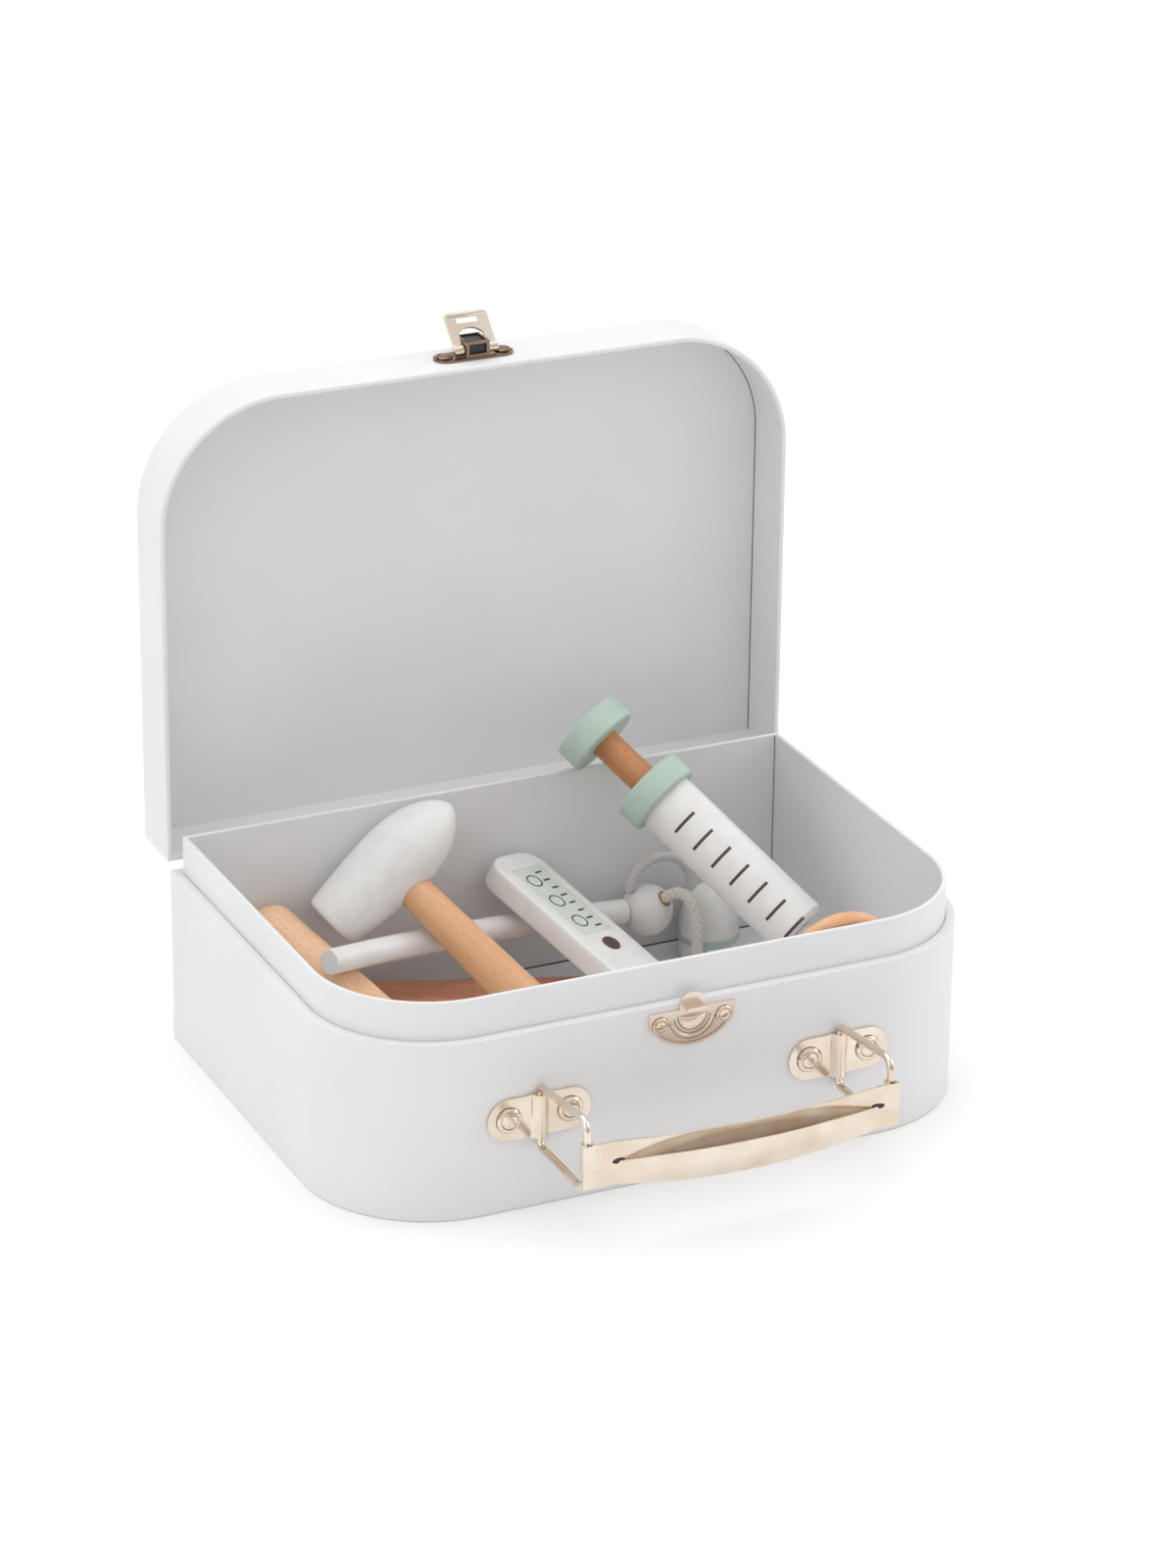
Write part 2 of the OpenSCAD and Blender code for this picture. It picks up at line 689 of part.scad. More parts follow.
module hammer_head() {
    steps = 14;
    tail = [for (i = [0 : steps]) let (t = 1 - i / steps)
        [head_r - (head_r - head_base_r) * pow(t, 1.6), head_shift - head_back_l * t]];
    nose = [for (i = [1 : steps]) let (a = 90 * i / steps)
        [head_r * pow(max(0, 1 - pow(sin(a), 2.2)), 0.625), head_shift + head_nose_l * sin(a)]];
    color(white) difference() {
        set_at(head_at, head_axis, [0, 1, 0]) rotate_extrude($fn = 72)
            polygon(concat([[0, tail[0].y - 1.2], [tail[0].x - 1.2, tail[0].y - 1.2]], tail, nose));
        set_at(head_at - tenon_in * hammer_way, hammer_way, [0, 0, 1])
            cylinder(r = hammer_tenon_r + run, h = 40);
    }
}

module hammer_handle() {
    color(beech) set_at(head_at, hammer_way, [0, 0, 1]) rotate_extrude($fn = 48)
        polygon([[0, -tenon_in + 0.1], [hammer_tenon_r, -tenon_in + 0.1], [hammer_tenon_r, tenon_l],
            [hammer_foot_r, hammer_l - 1.4], [hammer_foot_r, hammer_l], [0, hammer_l]]);
}

// Thermometer: a rounded slab that stands on the floor and leans on the back lining
thermo_way = unit([-0.352, 0.868, 0.351]);
thermo_side_hint = [0.886, 0.43, -0.174];
thermo_face = unit(cross(thermo_side_hint, thermo_way));
thermo_side = cross(thermo_way, thermo_face);
thermo_x = 25.3;
thermo_corner_r = 9;
thermo_edge_r = 2;
// The body is three slabs in one hull: how far each is drawn in at the corner and at the face
thermo_slabs = [[0, thermo_edge_r], [0.3 * thermo_edge_r, 0.3 * thermo_edge_r], [thermo_edge_r, 0]];
// From the thermometer's middle to its furthest point along an axis
function reach(k) = (thermo_w / 2 - thermo_corner_r) * abs(thermo_side[k])
    + (thermo_l / 2 - thermo_corner_r) * abs(thermo_way[k])
    + max([for (slab = thermo_slabs)
        (thermo_corner_r - slab[0]) * norm([thermo_side[k], thermo_way[k]])
        + (thermo_t / 2 - slab[1]) * abs(thermo_face[k])]);
thermo_at = [thermo_x, lining_back - rest_gap - reach(1), floor_t + rest_gap + reach(2)];
panel_w = 17;
panel_t = 0.8;
panel_from_top = 9.5;
button_from_top = panel_from_top + panel_l + 7;
button_t = 1.9;
inlay_gap = 0.1;

// Children are drawn with X across, Y towards the top end and Z out of the face
module on_thermometer() {
    set_at(thermo_at, thermo_face, thermo_side) children();
}

module thermometer_body() {
    half_w = thermo_w / 2 - thermo_corner_r;
    half_l = thermo_l / 2 - thermo_corner_r;
    color(white) on_thermometer() difference() {
        hull() for (sx = [-1, 1]) for (sy = [-1, 1]) translate([sx * half_w, sy * half_l, 0]) {
            for (slab = thermo_slabs)
                cylinder(r = thermo_corner_r - slab[0], h = thermo_t - 2 * slab[1], center = true, $fn = 32);
        }
        translate([-panel_w / 2 - inlay_gap, thermo_l / 2 - panel_from_top - panel_l - inlay_gap,
            thermo_t / 2 - panel_t]) cube([panel_w + 2 * inlay_gap, panel_l + 2 * inlay_gap, 2]);
        translate([0, thermo_l / 2 - button_from_top, thermo_t / 2 - 1.2])
            cylinder(d = button_d + 2 * inlay_gap, h = 3);
    }
}

module thermometer_panel() {
    color(mint) on_thermometer() translate([-panel_w / 2, thermo_l / 2 - panel_from_top - panel_l,
        thermo_t / 2 - panel_t]) cube([panel_w, panel_l, panel_t]);
}

module thermometer_button() {
    color(brown) on_thermometer() translate([0, thermo_l / 2 - button_from_top, thermo_t / 2 - 1.2])
        rotate_extrude($fn = 48) polygon([[0, 0], [button_d / 2, 0], [button_d / 2, button_t - 0.4],
            [button_d / 2 - 0.5, button_t], [0, button_t]]);
}

// Syringe: it hangs over the back rim by its knob and points down to the right
syringe_way = unit([0.475, -0.678, -0.561]);
syringe_x = 41.2;
knob_at = [syringe_x, lining_back - 4.6, rim_z + 1.058 * knob_r];
finger_at = knob_l / 2 + rod_show;
barrel_from = finger_at + finger_l;
barrel_to = barrel_from + barrel_l;
finger_floor = 3;
nozzle_r = 4.5;
nozzle_tip_r = 3.5;
nozzle_bore_r = 1;
nozzle_peg_r = 3;
nozzle_peg_l = 2.6;
end_t = 3;
shoulder = 1.8;
piston_l = 8;
piston_from = barrel_from + 24;
rod_in = 4;

// Children are drawn along Z from the knob's middle to the nozzle
module on_syringe() {
    set_at(knob_at, syringe_way, [0, 0, 1]) children();
}

module syringe_barrel() {
    start = finger_at + finger_floor + glue;
    color(white) on_syringe() rotate_extrude($fn = 72) polygon([
        [barrel_r - barrel_t, start], [barrel_r, start], [barrel_r, barrel_to],
        [barrel_r - shoulder, barrel_to + shoulder], [nozzle_peg_r + run, barrel_to + shoulder],
        [nozzle_peg_r + run, barrel_to + shoulder - end_t],
        [barrel_r - barrel_t, barrel_to + shoulder - end_t]]);
}

module syringe_collar() {
    edge = 1;
    color(mint) on_syringe() rotate_extrude($fn = 72) polygon([
        [rod_r + run, finger_at], [finger_r - edge, finger_at], [finger_r, finger_at + edge],
        [finger_r, finger_at + finger_l - edge], [finger_r - edge, finger_at + finger_l],
        [barrel_r + glue, finger_at + finger_l], [barrel_r + glue, finger_at + finger_floor],
        [rod_r + run, finger_at + finger_floor]]);
}

module syringe_nozzle() {
    base = barrel_to + shoulder + glue;
    color(white) on_syringe() rotate_extrude($fn = 48) polygon([
        [nozzle_bore_r, base - nozzle_peg_l], [nozzle_peg_r, base - nozzle_peg_l], [nozzle_peg_r, base],
        [nozzle_r, base], [nozzle_tip_r, base + nozzle_l], [nozzle_bore_r, base + nozzle_l]]);
}

module plunger_knob() {
    edge = 0.7;
    color(mint) on_syringe() rotate_extrude($fn = 72) polygon([
        [0, -knob_l / 2], [knob_r - edge, -knob_l / 2], [knob_r, -knob_l / 2 + edge],
        [knob_r, knob_l / 2 - edge], [knob_r - edge, knob_l / 2], [rod_r + run, knob_l / 2],
        [rod_r + run, knob_l / 2 - rod_in], [0, knob_l / 2 - rod_in]]);
}

module plunger_rod() {
    color(beech) on_syringe() translate([0, 0, knob_l / 2 - rod_in + glue])
        cylinder(r = rod_r, h = piston_from + rod_in - knob_l / 2 + rod_in - 2 * glue, $fn = 48);
}

module plunger_piston() {
    color(white) on_syringe() rotate_extrude($fn = 72) polygon([
        [rod_r + run, piston_from], [barrel_r - barrel_t - run, piston_from],
        [barrel_r - barrel_t - run, piston_from + piston_l], [0, piston_from + piston_l],
        [0, piston_from + rod_in], [rod_r + run, piston_from + rod_in]]);
}

// Stethoscope: a bent white arm, a bead, a thin arch, a braided cord and a chest piece
bead_at = [60.2, lining_back - 12.6, floor_t + 21.9];
bead_way = unit([0.45, -0.6, 0.65]);
bead_hole_r = cord_d / 2 + 0.6;
arm_left = 82;
arm_from_back = 42.1;
arm_up = 40.05;
arm_start = [-arm_left, lining_back - arm_from_back, floor_t + arm_up];
arm_end_way = unit([0.985, 0.09, -0.15]);
arm_end = bead_at - (bead_r + 0.2) * arm_end_way;
arm_sag = 4.7;
arm_sag_way = [0, 1, -0.1];
chest_at = [85, lining_back - 15.6, floor_t];
arch_r = 13;
arch_at = bead_at + [5.8, 1, 7.6];

// Rod bent to an arc between two points, bowed to one side
module bent_rod(from, to, sag, side, r) {
    along = unit(to - from);
    out = unit(side - (side * along) * along);
    half_chord = norm(to - from) / 2;
    bend_r = (half_chord * half_chord + sag * sag) / (2 * sag);
    half_angle = asin(half_chord / bend_r);
    set_at((from + to) / 2 - out * (bend_r - sag), cross(out, along), out)
        rotate([0, 0, -half_angle]) rotate_extrude(angle = 2 * half_angle, $fn = 360)
            translate([bend_r, 0]) circle(r, $fn = 48);
}

module stethoscope_arm() {
    color(white) bent_rod(arm_start, arm_end, arm_sag, arm_sag_way, arm_r);
}

module stethoscope_bead() {
    color(white) difference() {
        translate(bead_at) sphere(r = bead_r);
        set_at(bead_at - 3 * bead_way, bead_way, [1, 0, 0]) cylinder(r = bead_hole_r, h = 2 * bead_r);
    }
}

module stethoscope_arch() {
    color(white) translate(arch_at) rotate([90, 0, 0]) rotate([0, 0, -6])
        rotate_extrude(angle = 181, $fn = 96) translate([arch_r, 0]) circle(d = arch_d, $fn = 32);
}

module chest_piece() {
    steps = 12;
    waist = 0.42 * chest_h;
    crown = [for (i = [0 : steps - 1]) let (a = 90 * i / steps)
        [chest_r * pow(cos(a), 0.8), waist + (chest_h - waist) * sin(a)]];
    color(white) translate(chest_at) difference() {
        rotate_extrude($fn = 72)
            polygon(concat([[0, 0], [chest_r - 1, 0], [chest_r, 1]], crown, [[0, chest_h]]));
        // Groove of the mint ring, and the cord's hole
        translate([0, 0, waist - 5]) difference() {
            cylinder(r = 2 * chest_r, h = 3);
            translate([0, 0, -1]) cylinder(r = chest_r - 0.8, h = 5);
        }
        translate(cord_points[len(cord_points) - 1] - chest_at + [0.3, 0.3, 0])
            rotate([90, 0, -45]) cylinder(r = cord_d / 2 + 0.3, h = 20);
    }
}

module chest_ring() {
    waist = 0.42 * chest_h;
    color(mint) translate(chest_at + [0, 0, waist - 5 + glue]) difference() {
        cylinder(r = chest_r + 0.4, h = 3 - 2 * glue, $fn = 72);
        translate([0, 0, -1]) cylinder(r = chest_r - 0.8 + glue, h = 5, $fn = 72);
    }
}

// Route of the braided cord: out of the bead, over a hump and down into the chest piece
cord_points = [[60.6, 68.4, 25.5], [62.4, 66.1, 28], [64.2, 63.7, 30.6], [66, 61.2, 33.2],
    [67.9, 58.6, 34.8], [69.9, 56, 34.4], [71.4, 53.8, 31.8], [72.2, 52.4, 28], [72.6, 51.6, 23.6],
    [72.8, 51.3, 19], [73, 51.4, 14.6], [73.5, 52, 11], [74.6, 53.2, 8.4], [76.2, 55, 7.2],
    [78.2, 57.2, 7], [79.6, 58.8, 7]];

// Tube along points: every ring lies square to the way between its neighbours
module tube_along(points, r, sides) {
    n = len(points);
    ways = [for (i = [0 : n - 1]) unit(points[min(i + 1, n - 1)] - points[max(i - 1, 0)])];
    rings = [for (i = [0 : n - 1])
        let (a = unit(cross(ways[i], [1, 0.3, 0.1])), b = cross(ways[i], a))
        for (k = [0 : sides - 1]) points[i] + r * (cos(360 * k / sides) * a + sin(360 * k / sides) * b)];
    walls = [for (i = [0 : n - 2]) for (k = [0 : sides - 1]) let (k2 = (k + 1) % sides)
        each [[i * sides + k, (i + 1) * sides + k, i * sides + k2],
              [i * sides + k2, (i + 1) * sides + k, (i + 1) * sides + k2]]];
    polyhedron(rings, concat(walls, [[for (k = [0 : sides - 1]) k]],
        [[for (k = [sides - 1 : -1 : 0]) (n - 1) * sides + k]]), convexity = 6);
}

module stethoscope_cord() {
    color(white) tube_along(cord_points, cord_d / 2, 10);
}

// Wooden handle: a round stick with a domed top, leaning on the back lining
stick_way = unit([21.6, -35.1, -21.4]);
stick_left = 90.3;
stick_up = 40.7;
scoop_from_top = 40;
scoop_r = 15;
stick_at = [-stick_left, lining_back - stick_r - 0.5, floor_t + stick_up];
stick_l = foot_length(stick_up, stick_way, stick_r);

module wooden_handle() {
    scoop_up = unit([0, 0, 1] + 0.46 * stick_way);
    color(beech) difference() {
        set_at(stick_at, stick_way, [0, 0, 1]) union() {
            sphere(r = stick_r);
            cylinder(r = stick_r, h = stick_l);
        }
        translate(stick_at + scoop_from_top * stick_way + (stick_r + scoop_r - 2.6) * scoop_up)
            sphere(r = scoop_r);
    }
}

// Wooden bar that lies on the floor under the other things
bar_at = [-60, lining_back - 6.6, floor_t];
bar_turn = -20.5;

module wooden_bar() {
    edge = 1.2;
    color(red_wood) translate(bar_at) rotate([0, 0, bar_turn]) translate([-4, -bar_w, 0])
        rotate([90, 0, 90]) linear_extrude(bar_l) polygon([[0, 0], [bar_w, 0], [bar_w, bar_t - edge],
            [bar_w - edge, bar_t], [edge, bar_t], [0, bar_t - edge]]);
}

// Hand mirror: leans on the front lining with its handle's foot on the floor
mirror_face = unit([0, 0.985, 0.17]);
mirror_grip_way = unit([-0.421, 0.154, -0.894] - ([-0.421, 0.154, -0.894] * mirror_face) * mirror_face);
mirror_rise = 2.7;
mirror_foot_r = 4.6;
mirror_outer_r = mirror_r + frame_d / 2;
mirror_at = [65.2, lining_front + 0.4 + frame_d / 2 * 0.985 + mirror_outer_r * 0.17,
    rim_z + mirror_rise - mirror_outer_r * 0.985];
mirror_l = foot_length(mirror_at.z - floor_t, mirror_grip_way, mirror_foot_r);
mirror_plate_t = 1.6;
mirror_plate_r = mirror_r - frame_d / 2 + 1;

module mirror_frame() {
    color(beech) difference() {
        union() {
            set_at(mirror_at, mirror_face, mirror_grip_way) rotate_extrude($fn = 96)
                translate([mirror_r, 0]) circle(d = frame_d, $fn = 32);
            set_at(mirror_at + mirror_r * mirror_grip_way, mirror_grip_way, mirror_face)
                rotate_extrude($fn = 48) polygon([[0, 0], [frame_d / 2 - 0.2, 0],
                    [frame_d / 2 - 0.2, 4], [mirror_foot_r - 0.4, 12],
                    [mirror_foot_r, mirror_l - mirror_r], [0, mirror_l - mirror_r]]);
        }
        set_at(mirror_at - (mirror_plate_t / 2 + glue) * mirror_face, mirror_face, [1, 0, 0])
            cylinder(r = mirror_plate_r + glue, h = mirror_plate_t + 2 * glue);
    }
}

module mirror_plate() {
    color(mirror_grey) set_at(mirror_at - mirror_plate_t / 2 * mirror_face, mirror_face, [1, 0, 0])
        cylinder(r = mirror_plate_r, h = mirror_plate_t);
}

base_floor();
base_band();
base_back();
inner_collar();
lid_panel();
lid_band();
lid_back();
hinge_leaves_lower();
hinge_leaves_upper();
hinge_pins();
hinge_rivets_base();
hinge_rivets_lid();
catch_plate();
catch_rivets();
hasp_plate();
hasp_housing();
hasp_pin();
hasp_rivets();
hasp_flap();
bracket_left();
bracket_right();
bracket_rivets();
ring_left();
ring_right();
handle_grip();
hammer_head();
hammer_handle();
thermometer_body();
thermometer_panel();
thermometer_button();
syringe_barrel();
syringe_collar();
syringe_nozzle();
plunger_knob();
plunger_rod();
plunger_piston();
stethoscope_arm();
stethoscope_bead();
stethoscope_arch();
stethoscope_cord();
chest_piece();
chest_ring();
wooden_handle();
wooden_bar();
mirror_frame();
mirror_plate();
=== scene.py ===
# Looks of the toy doctor case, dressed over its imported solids
import bpy, bmesh, json, math
from mathutils import Matrix, Vector


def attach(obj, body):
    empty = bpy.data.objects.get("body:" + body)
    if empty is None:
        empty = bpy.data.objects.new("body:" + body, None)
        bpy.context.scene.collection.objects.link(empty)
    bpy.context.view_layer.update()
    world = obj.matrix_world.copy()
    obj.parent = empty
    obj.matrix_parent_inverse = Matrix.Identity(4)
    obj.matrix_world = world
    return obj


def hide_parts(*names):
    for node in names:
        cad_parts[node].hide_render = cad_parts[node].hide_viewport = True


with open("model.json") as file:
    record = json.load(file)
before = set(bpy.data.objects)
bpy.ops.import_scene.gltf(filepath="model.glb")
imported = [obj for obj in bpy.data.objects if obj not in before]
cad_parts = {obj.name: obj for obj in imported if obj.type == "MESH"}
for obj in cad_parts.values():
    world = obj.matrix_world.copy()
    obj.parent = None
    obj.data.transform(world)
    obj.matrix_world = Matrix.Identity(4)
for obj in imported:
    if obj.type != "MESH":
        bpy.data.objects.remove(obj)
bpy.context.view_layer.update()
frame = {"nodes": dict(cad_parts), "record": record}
mm = 0.001
bodyOf = {node: body for body, nodes in frame["record"]["behaviour"]["bodies"].items() for node in nodes}
scene = bpy.context.scene


# Camera at the photograph's place
view = {"azimuth": 25.312, "elevation": 23.540, "roll": 0.665, "lens": 117.43, "sensor": 36,
        "reach": 50, "place": (-713.197, -1512.644, 843.494)}
az, el, roll = (math.radians(view[k]) for k in ("azimuth", "elevation", "roll"))
ahead = Vector((math.sin(az) * math.cos(el), math.cos(az) * math.cos(el), -math.sin(el)))
level = Vector((math.cos(az), -math.sin(az), 0))
above = level.cross(ahead)
across = level * math.cos(roll) + above * math.sin(roll)
upward = above * math.cos(roll) - level * math.sin(roll)
camera = bpy.data.objects.new("camera", bpy.data.cameras.new("camera"))
camera.data.sensor_width = view["sensor"]
camera.data.lens = view["lens"]
camera.data.clip_end = view["reach"]
camera.matrix_world = Matrix.Translation(Vector(view["place"]) * mm) @ Matrix(
    [[across[i], upward[i], -ahead[i]] for i in range(3)]).to_4x4()
scene.collection.objects.link(camera)
scene.camera = camera
print("camera placed")


# Small tools for meshes
def addObject(name, mesh):
    piece = bpy.data.objects.new(name, mesh)
    scene.collection.objects.link(piece)
    return piece


def settle(piece):  # the modifiers' result becomes the mesh
    shape = bpy.data.meshes.new_from_object(piece.evaluated_get(bpy.context.evaluated_depsgraph_get()))
    piece.modifiers.clear()
    piece.data = shape
    return piece


def roundEdges(piece, width, steps=3, angle=35):
    for face in piece.data.polygons:
        face.use_smooth = True
    if width:
        edge = piece.modifiers.new("edge", "BEVEL")
        edge.width = width * mm
        edge.segments = steps
        edge.limit_method = "ANGLE"
        edge.angle_limit = math.radians(angle)
    shade = piece.modifiers.new("shade", "WEIGHTED_NORMAL")
    shade.weight = 80
    shade.keep_sharp = True
    return settle(piece)


def finishPiece(piece, body, material, nodes=()):
    piece.data.materials.clear()
    piece.data.materials.append(material)
    for face in piece.data.polygons:
        face.material_index = 0
    if nodes:
        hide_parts(*nodes)
    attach(piece, body)


same = {"dist": 0.002, "angle": 0.4}  # points closer than this are one, faces flatter than this are one


def dressNode(node, material, width, steps=3, angle=35):  # a CAD node's own shape, its edges rounded
    shape = bmesh.new()
    shape.from_mesh(frame["nodes"][node].data)
    bmesh.ops.remove_doubles(shape, verts=shape.verts, dist=same["dist"] * mm)
    bmesh.ops.dissolve_limit(shape, angle_limit=math.radians(same["angle"]), verts=shape.verts,
                             edges=shape.edges)
    mesh = bpy.data.meshes.new(node + "_dressed")
    shape.to_mesh(mesh)
    shape.free()
    mesh.set_sharp_from_angle(angle=math.radians(angle))
    piece = roundEdges(addObject(node + "_dressed", mesh), width, steps, angle)
    finishPiece(piece, bodyOf[node], material, [node])


def meshFrom(name, points, faces, scale=mm):
    mesh = bpy.data.meshes.new(name)
    mesh.from_pydata([tuple(c * scale for c in p) for p in points], [], faces)
    mesh.validate()
    shape = bmesh.new()
    shape.from_mesh(mesh)
    bmesh.ops.recalc_face_normals(shape, faces=shape.faces)
    shape.to_mesh(mesh)
    shape.free()
    return mesh


def circlePoints(radius, count, z=0):
    return [Vector((radius * math.cos(a), radius * math.sin(a), z))
            for a in (2 * math.pi * k / count for k in range(count))]


def sweep(path, radius, sides, closed):  # points and faces of a round tube along a path
    count = len(path)
    points, faces = [], []
    side = None
    for i, place in enumerate(path):
        before = path[i - 1] if i or closed else path[0]
        after = path[(i + 1) % count] if i < count - 1 or closed else path[-1]
        way = (after - before).normalized()
        side = way.orthogonal().normalized() if side is None else (side - side.dot(way) * way).normalized()
        other = way.cross(side)
        points += [place + p.x * side + p.y * other for p in circlePoints(radius, sides)]
    for i in range(count if closed else count - 1):
        for k in range(sides):
            j, m = (i + 1) % count, (k + 1) % sides
            faces.append((i * sides + k, j * sides + k, j * sides + m, i * sides + m))
    if not closed:
        faces.append(tuple(range(sides)))
        faces.append(tuple((count - 1) * sides + k for k in range(sides)))
    return points, faces


def tubesMesh(name, tubes):  # open round tubes in one mesh, each a path, a radius and its sides
    points, faces = [], []
    for path, radius, sides in tubes:
        more, skin = sweep(path, radius, sides, False)
        faces += [tuple(k + len(points) for k in face) for face in skin]
        points += more
    return meshFrom(name, points, faces)


def placeOn(origin, zWay, xWay):  # the same placing as the part's source
    z = Vector(zWay).normalized()
    y = z.cross(Vector(xWay)).normalized()
    x = y.cross(z)
    place = Matrix([[x[i], y[i], z[i]] for i in range(3)]).to_4x4()
    place.translation = Vector(origin) * mm
    return place


# Small tools for materials
def addNode(tree, kind, inputs=None, **settings):
    node = tree.nodes.new(kind)
    for key, value in settings.items():
        setattr(node, key, value)
    for key, value in (inputs or {}).items():
        if isinstance(value, bpy.types.NodeSocket):
            tree.links.new(value, node.inputs[key])
        else:
            node.inputs[key].default_value = value
    return node


def newMaterial(name, colour, rough, metal=0.0, **more):
    material = bpy.data.materials.new(name)
    material.use_nodes = True
    tree = material.node_tree
    shader = tree.nodes["Principled BSDF"]
    shader.inputs["Base Color"].default_value = (*colour, 1)
    shader.inputs["Roughness"].default_value = rough
    shader.inputs["Metallic"].default_value = metal
    for key, value in more.items():
        shader.inputs[key.replace("_", " ")].default_value = value
    return material, tree, shader


def patternSpace(tree, size, place=(0, 0, 0), way=(0, 0, 1)):  # pattern cells of a size in mm, Z along a way
    cell = size if isinstance(size, tuple) else (size,) * 3
    turn = Vector((0, 0, 1)).rotation_difference(Vector(way).normalized()).to_euler()
    spot = addNode(tree, "ShaderNodeTexCoord")
    return addNode(tree, "ShaderNodeMapping", {"Vector": spot.outputs["Object"],
        "Location": Vector(place) * mm, "Rotation": turn, "Scale": Vector(cell) * mm},
        vector_type="TEXTURE").outputs["Vector"]


def noise(tree, space, detail=3.0, rough=0.5, distortion=0.0):
    return addNode(tree, "ShaderNodeTexNoise", {"Vector": space, "Scale": 1.0, "Detail": detail,
        "Roughness": rough, "Distortion": distortion}).outputs["Fac"]


def ramp(tree, factor, stops):
    node = addNode(tree, "ShaderNodeValToRGB", {"Fac": factor})
    line = node.color_ramp.elements
    while len(line) < len(stops):
        line.new(0.5)
    for mark, (at, colour) in zip(line, stops):
        mark.position = at
        mark.color = (*colour, 1)
    return node.outputs["Color"]


def mixColour(tree, factor, first, second):
    node = addNode(tree, "ShaderNodeMix", data_type="RGBA")
    for key, value in ((0, factor), (6, first), (7, second)):  # the colour sockets of the node
        if isinstance(value, bpy.types.NodeSocket):
            tree.links.new(value, node.inputs[key])
        else:
            node.inputs[key].default_value = value if key == 0 else (*value, 1)
    return node.outputs[2]


def bump(tree, shader, height, depth, strength=1.0):
    node = addNode(tree, "ShaderNodeBump", {"Height": height, "Distance": depth * mm, "Strength": strength})
    before = shader.inputs["Normal"].links
    if before:
        tree.links.new(before[0].from_socket, node.inputs["Normal"])
    tree.links.new(node.outputs["Normal"], shader.inputs["Normal"])


def rangeOf(tree, factor, low, high):
    node = addNode(tree, "ShaderNodeMapRange", {"Value": factor, "To Min": low, "To Max": high})
    return node.outputs["Result"]


# Paper-covered board
boardPaper = {"colour": (0.775, 0.775, 0.782), "shade": (0.74, 0.74, 0.748), "rough": 0.5,
              "cloud": 60, "fibre": 0.5, "wave": 14, "fibreDeep": 0.03, "waveDeep": 0.12}


def paperMaterial():
    material, tree, shader = newMaterial("paper", boardPaper["colour"], boardPaper["rough"])
    cloud = noise(tree, patternSpace(tree, boardPaper["cloud"]), 4)
    fibre = noise(tree, patternSpace(tree, boardPaper["fibre"]), 5, 0.7)
    waves = noise(tree, patternSpace(tree, boardPaper["wave"]), 2)
    tree.links.new(ramp(tree, cloud, [(0.3, boardPaper["shade"]), (0.7, boardPaper["colour"])]),
                   shader.inputs["Base Color"])
    tree.links.new(rangeOf(tree, fibre, boardPaper["rough"] - 0.08, boardPaper["rough"] + 0.1),
                   shader.inputs["Roughness"])
    bump(tree, shader, fibre, boardPaper["fibreDeep"])
    bump(tree, shader, waves, boardPaper["waveDeep"], 0.35)
    return material


# Pale gold-coloured plate on sheet and wire
# dark_reflection is a painted dark reflection, the tone of the hasp's fittings
# line is the tone of painted shade at the rivets and beside the catch's pressed beads
# lip_shade is painted shade on the grip's upper lip
goldPlate = {"colour": (0.80, 0.715, 0.62), "warm": (0.73, 0.61, 0.49), "dark": (0.30, 0.20, 0.13),
             "lip_shade": (0.30, 0.22, 0.16), "dark_reflection": (0.24, 0.165, 0.115), "satin": (0.83, 0.72, 0.625),
             "line": (0.36, 0.25, 0.185), "rough": 0.13, "streak": (0.25, 0.25, 9), "patch": 12, "spot": 1.6,
             "streakDeep": 0.0015, "patchDeep": 0.04}


def goldMaterial(name, grime=0.0, lip_shade=False, tone=None, rough=None):
    rough = rough or goldPlate["rough"]
    material, tree, shader = newMaterial(name, goldPlate["colour"], rough, 1.0)
    streaks = noise(tree, patternSpace(tree, goldPlate["streak"], way=(1, 0, 0)), 3, 0.6)
    patches = noise(tree, patternSpace(tree, goldPlate["patch"]), 2, 0.4)
    plate = ramp(tree, patches, [(0.32, tone or goldPlate["warm"]), (0.60, tone or goldPlate["colour"])])
    if lip_shade:  # painted shade: darker where the upper lip turns in under the lower lip's shadow
        lipShadeShare = addNode(tree, "ShaderNodeAttribute", attribute_name="lip_shade").outputs["Fac"]
        plate = mixColour(tree, lipShadeShare, plate, goldPlate["lip_shade"])
    if grime:  # small dark spots
        spots = noise(tree, patternSpace(tree, goldPlate["spot"]), 4, 0.6)
        share = ramp(tree, spots, [(0.56, (0, 0, 0)), (0.72, (grime,) * 3)])
        plate = mixColour(tree, share, plate, goldPlate["dark"])
    tree.links.new(plate, shader.inputs["Base Color"])
    tree.links.new(rangeOf(tree, streaks, rough - 0.04, rough + 0.08), shader.inputs["Roughness"])
    bump(tree, shader, streaks, goldPlate["streakDeep"])
    bump(tree, shader, patches, goldPlate["patchDeep"], 0.3)
    return material


# Wood with its grain along the piece
beechWood = {"light": (0.82, 0.50, 0.29), "dark": (0.68, 0.36, 0.18), "fleck": (0.50, 0.24, 0.12)}
paleWood = {"light": (0.92, 0.63, 0.41), "dark": (0.80, 0.47, 0.27), "fleck": (0.58, 0.30, 0.16)}
rodWood = {"light": (0.62, 0.29, 0.125), "dark": (0.46, 0.18, 0.07), "fleck": (0.30, 0.11, 0.05)}
redWood = {"light": (0.80, 0.38, 0.235), "dark": (0.60, 0.25, 0.145), "fleck": (0.34, 0.12, 0.07)}
woodGrain = {"broad": (6, 6, 70), "line": (0.9, 0.9, 26), "dash": (0.45, 0.45, 2.6), "fleckShare": 0.45,
             "lineDeep": 0.05, "dashDeep": 0.02}


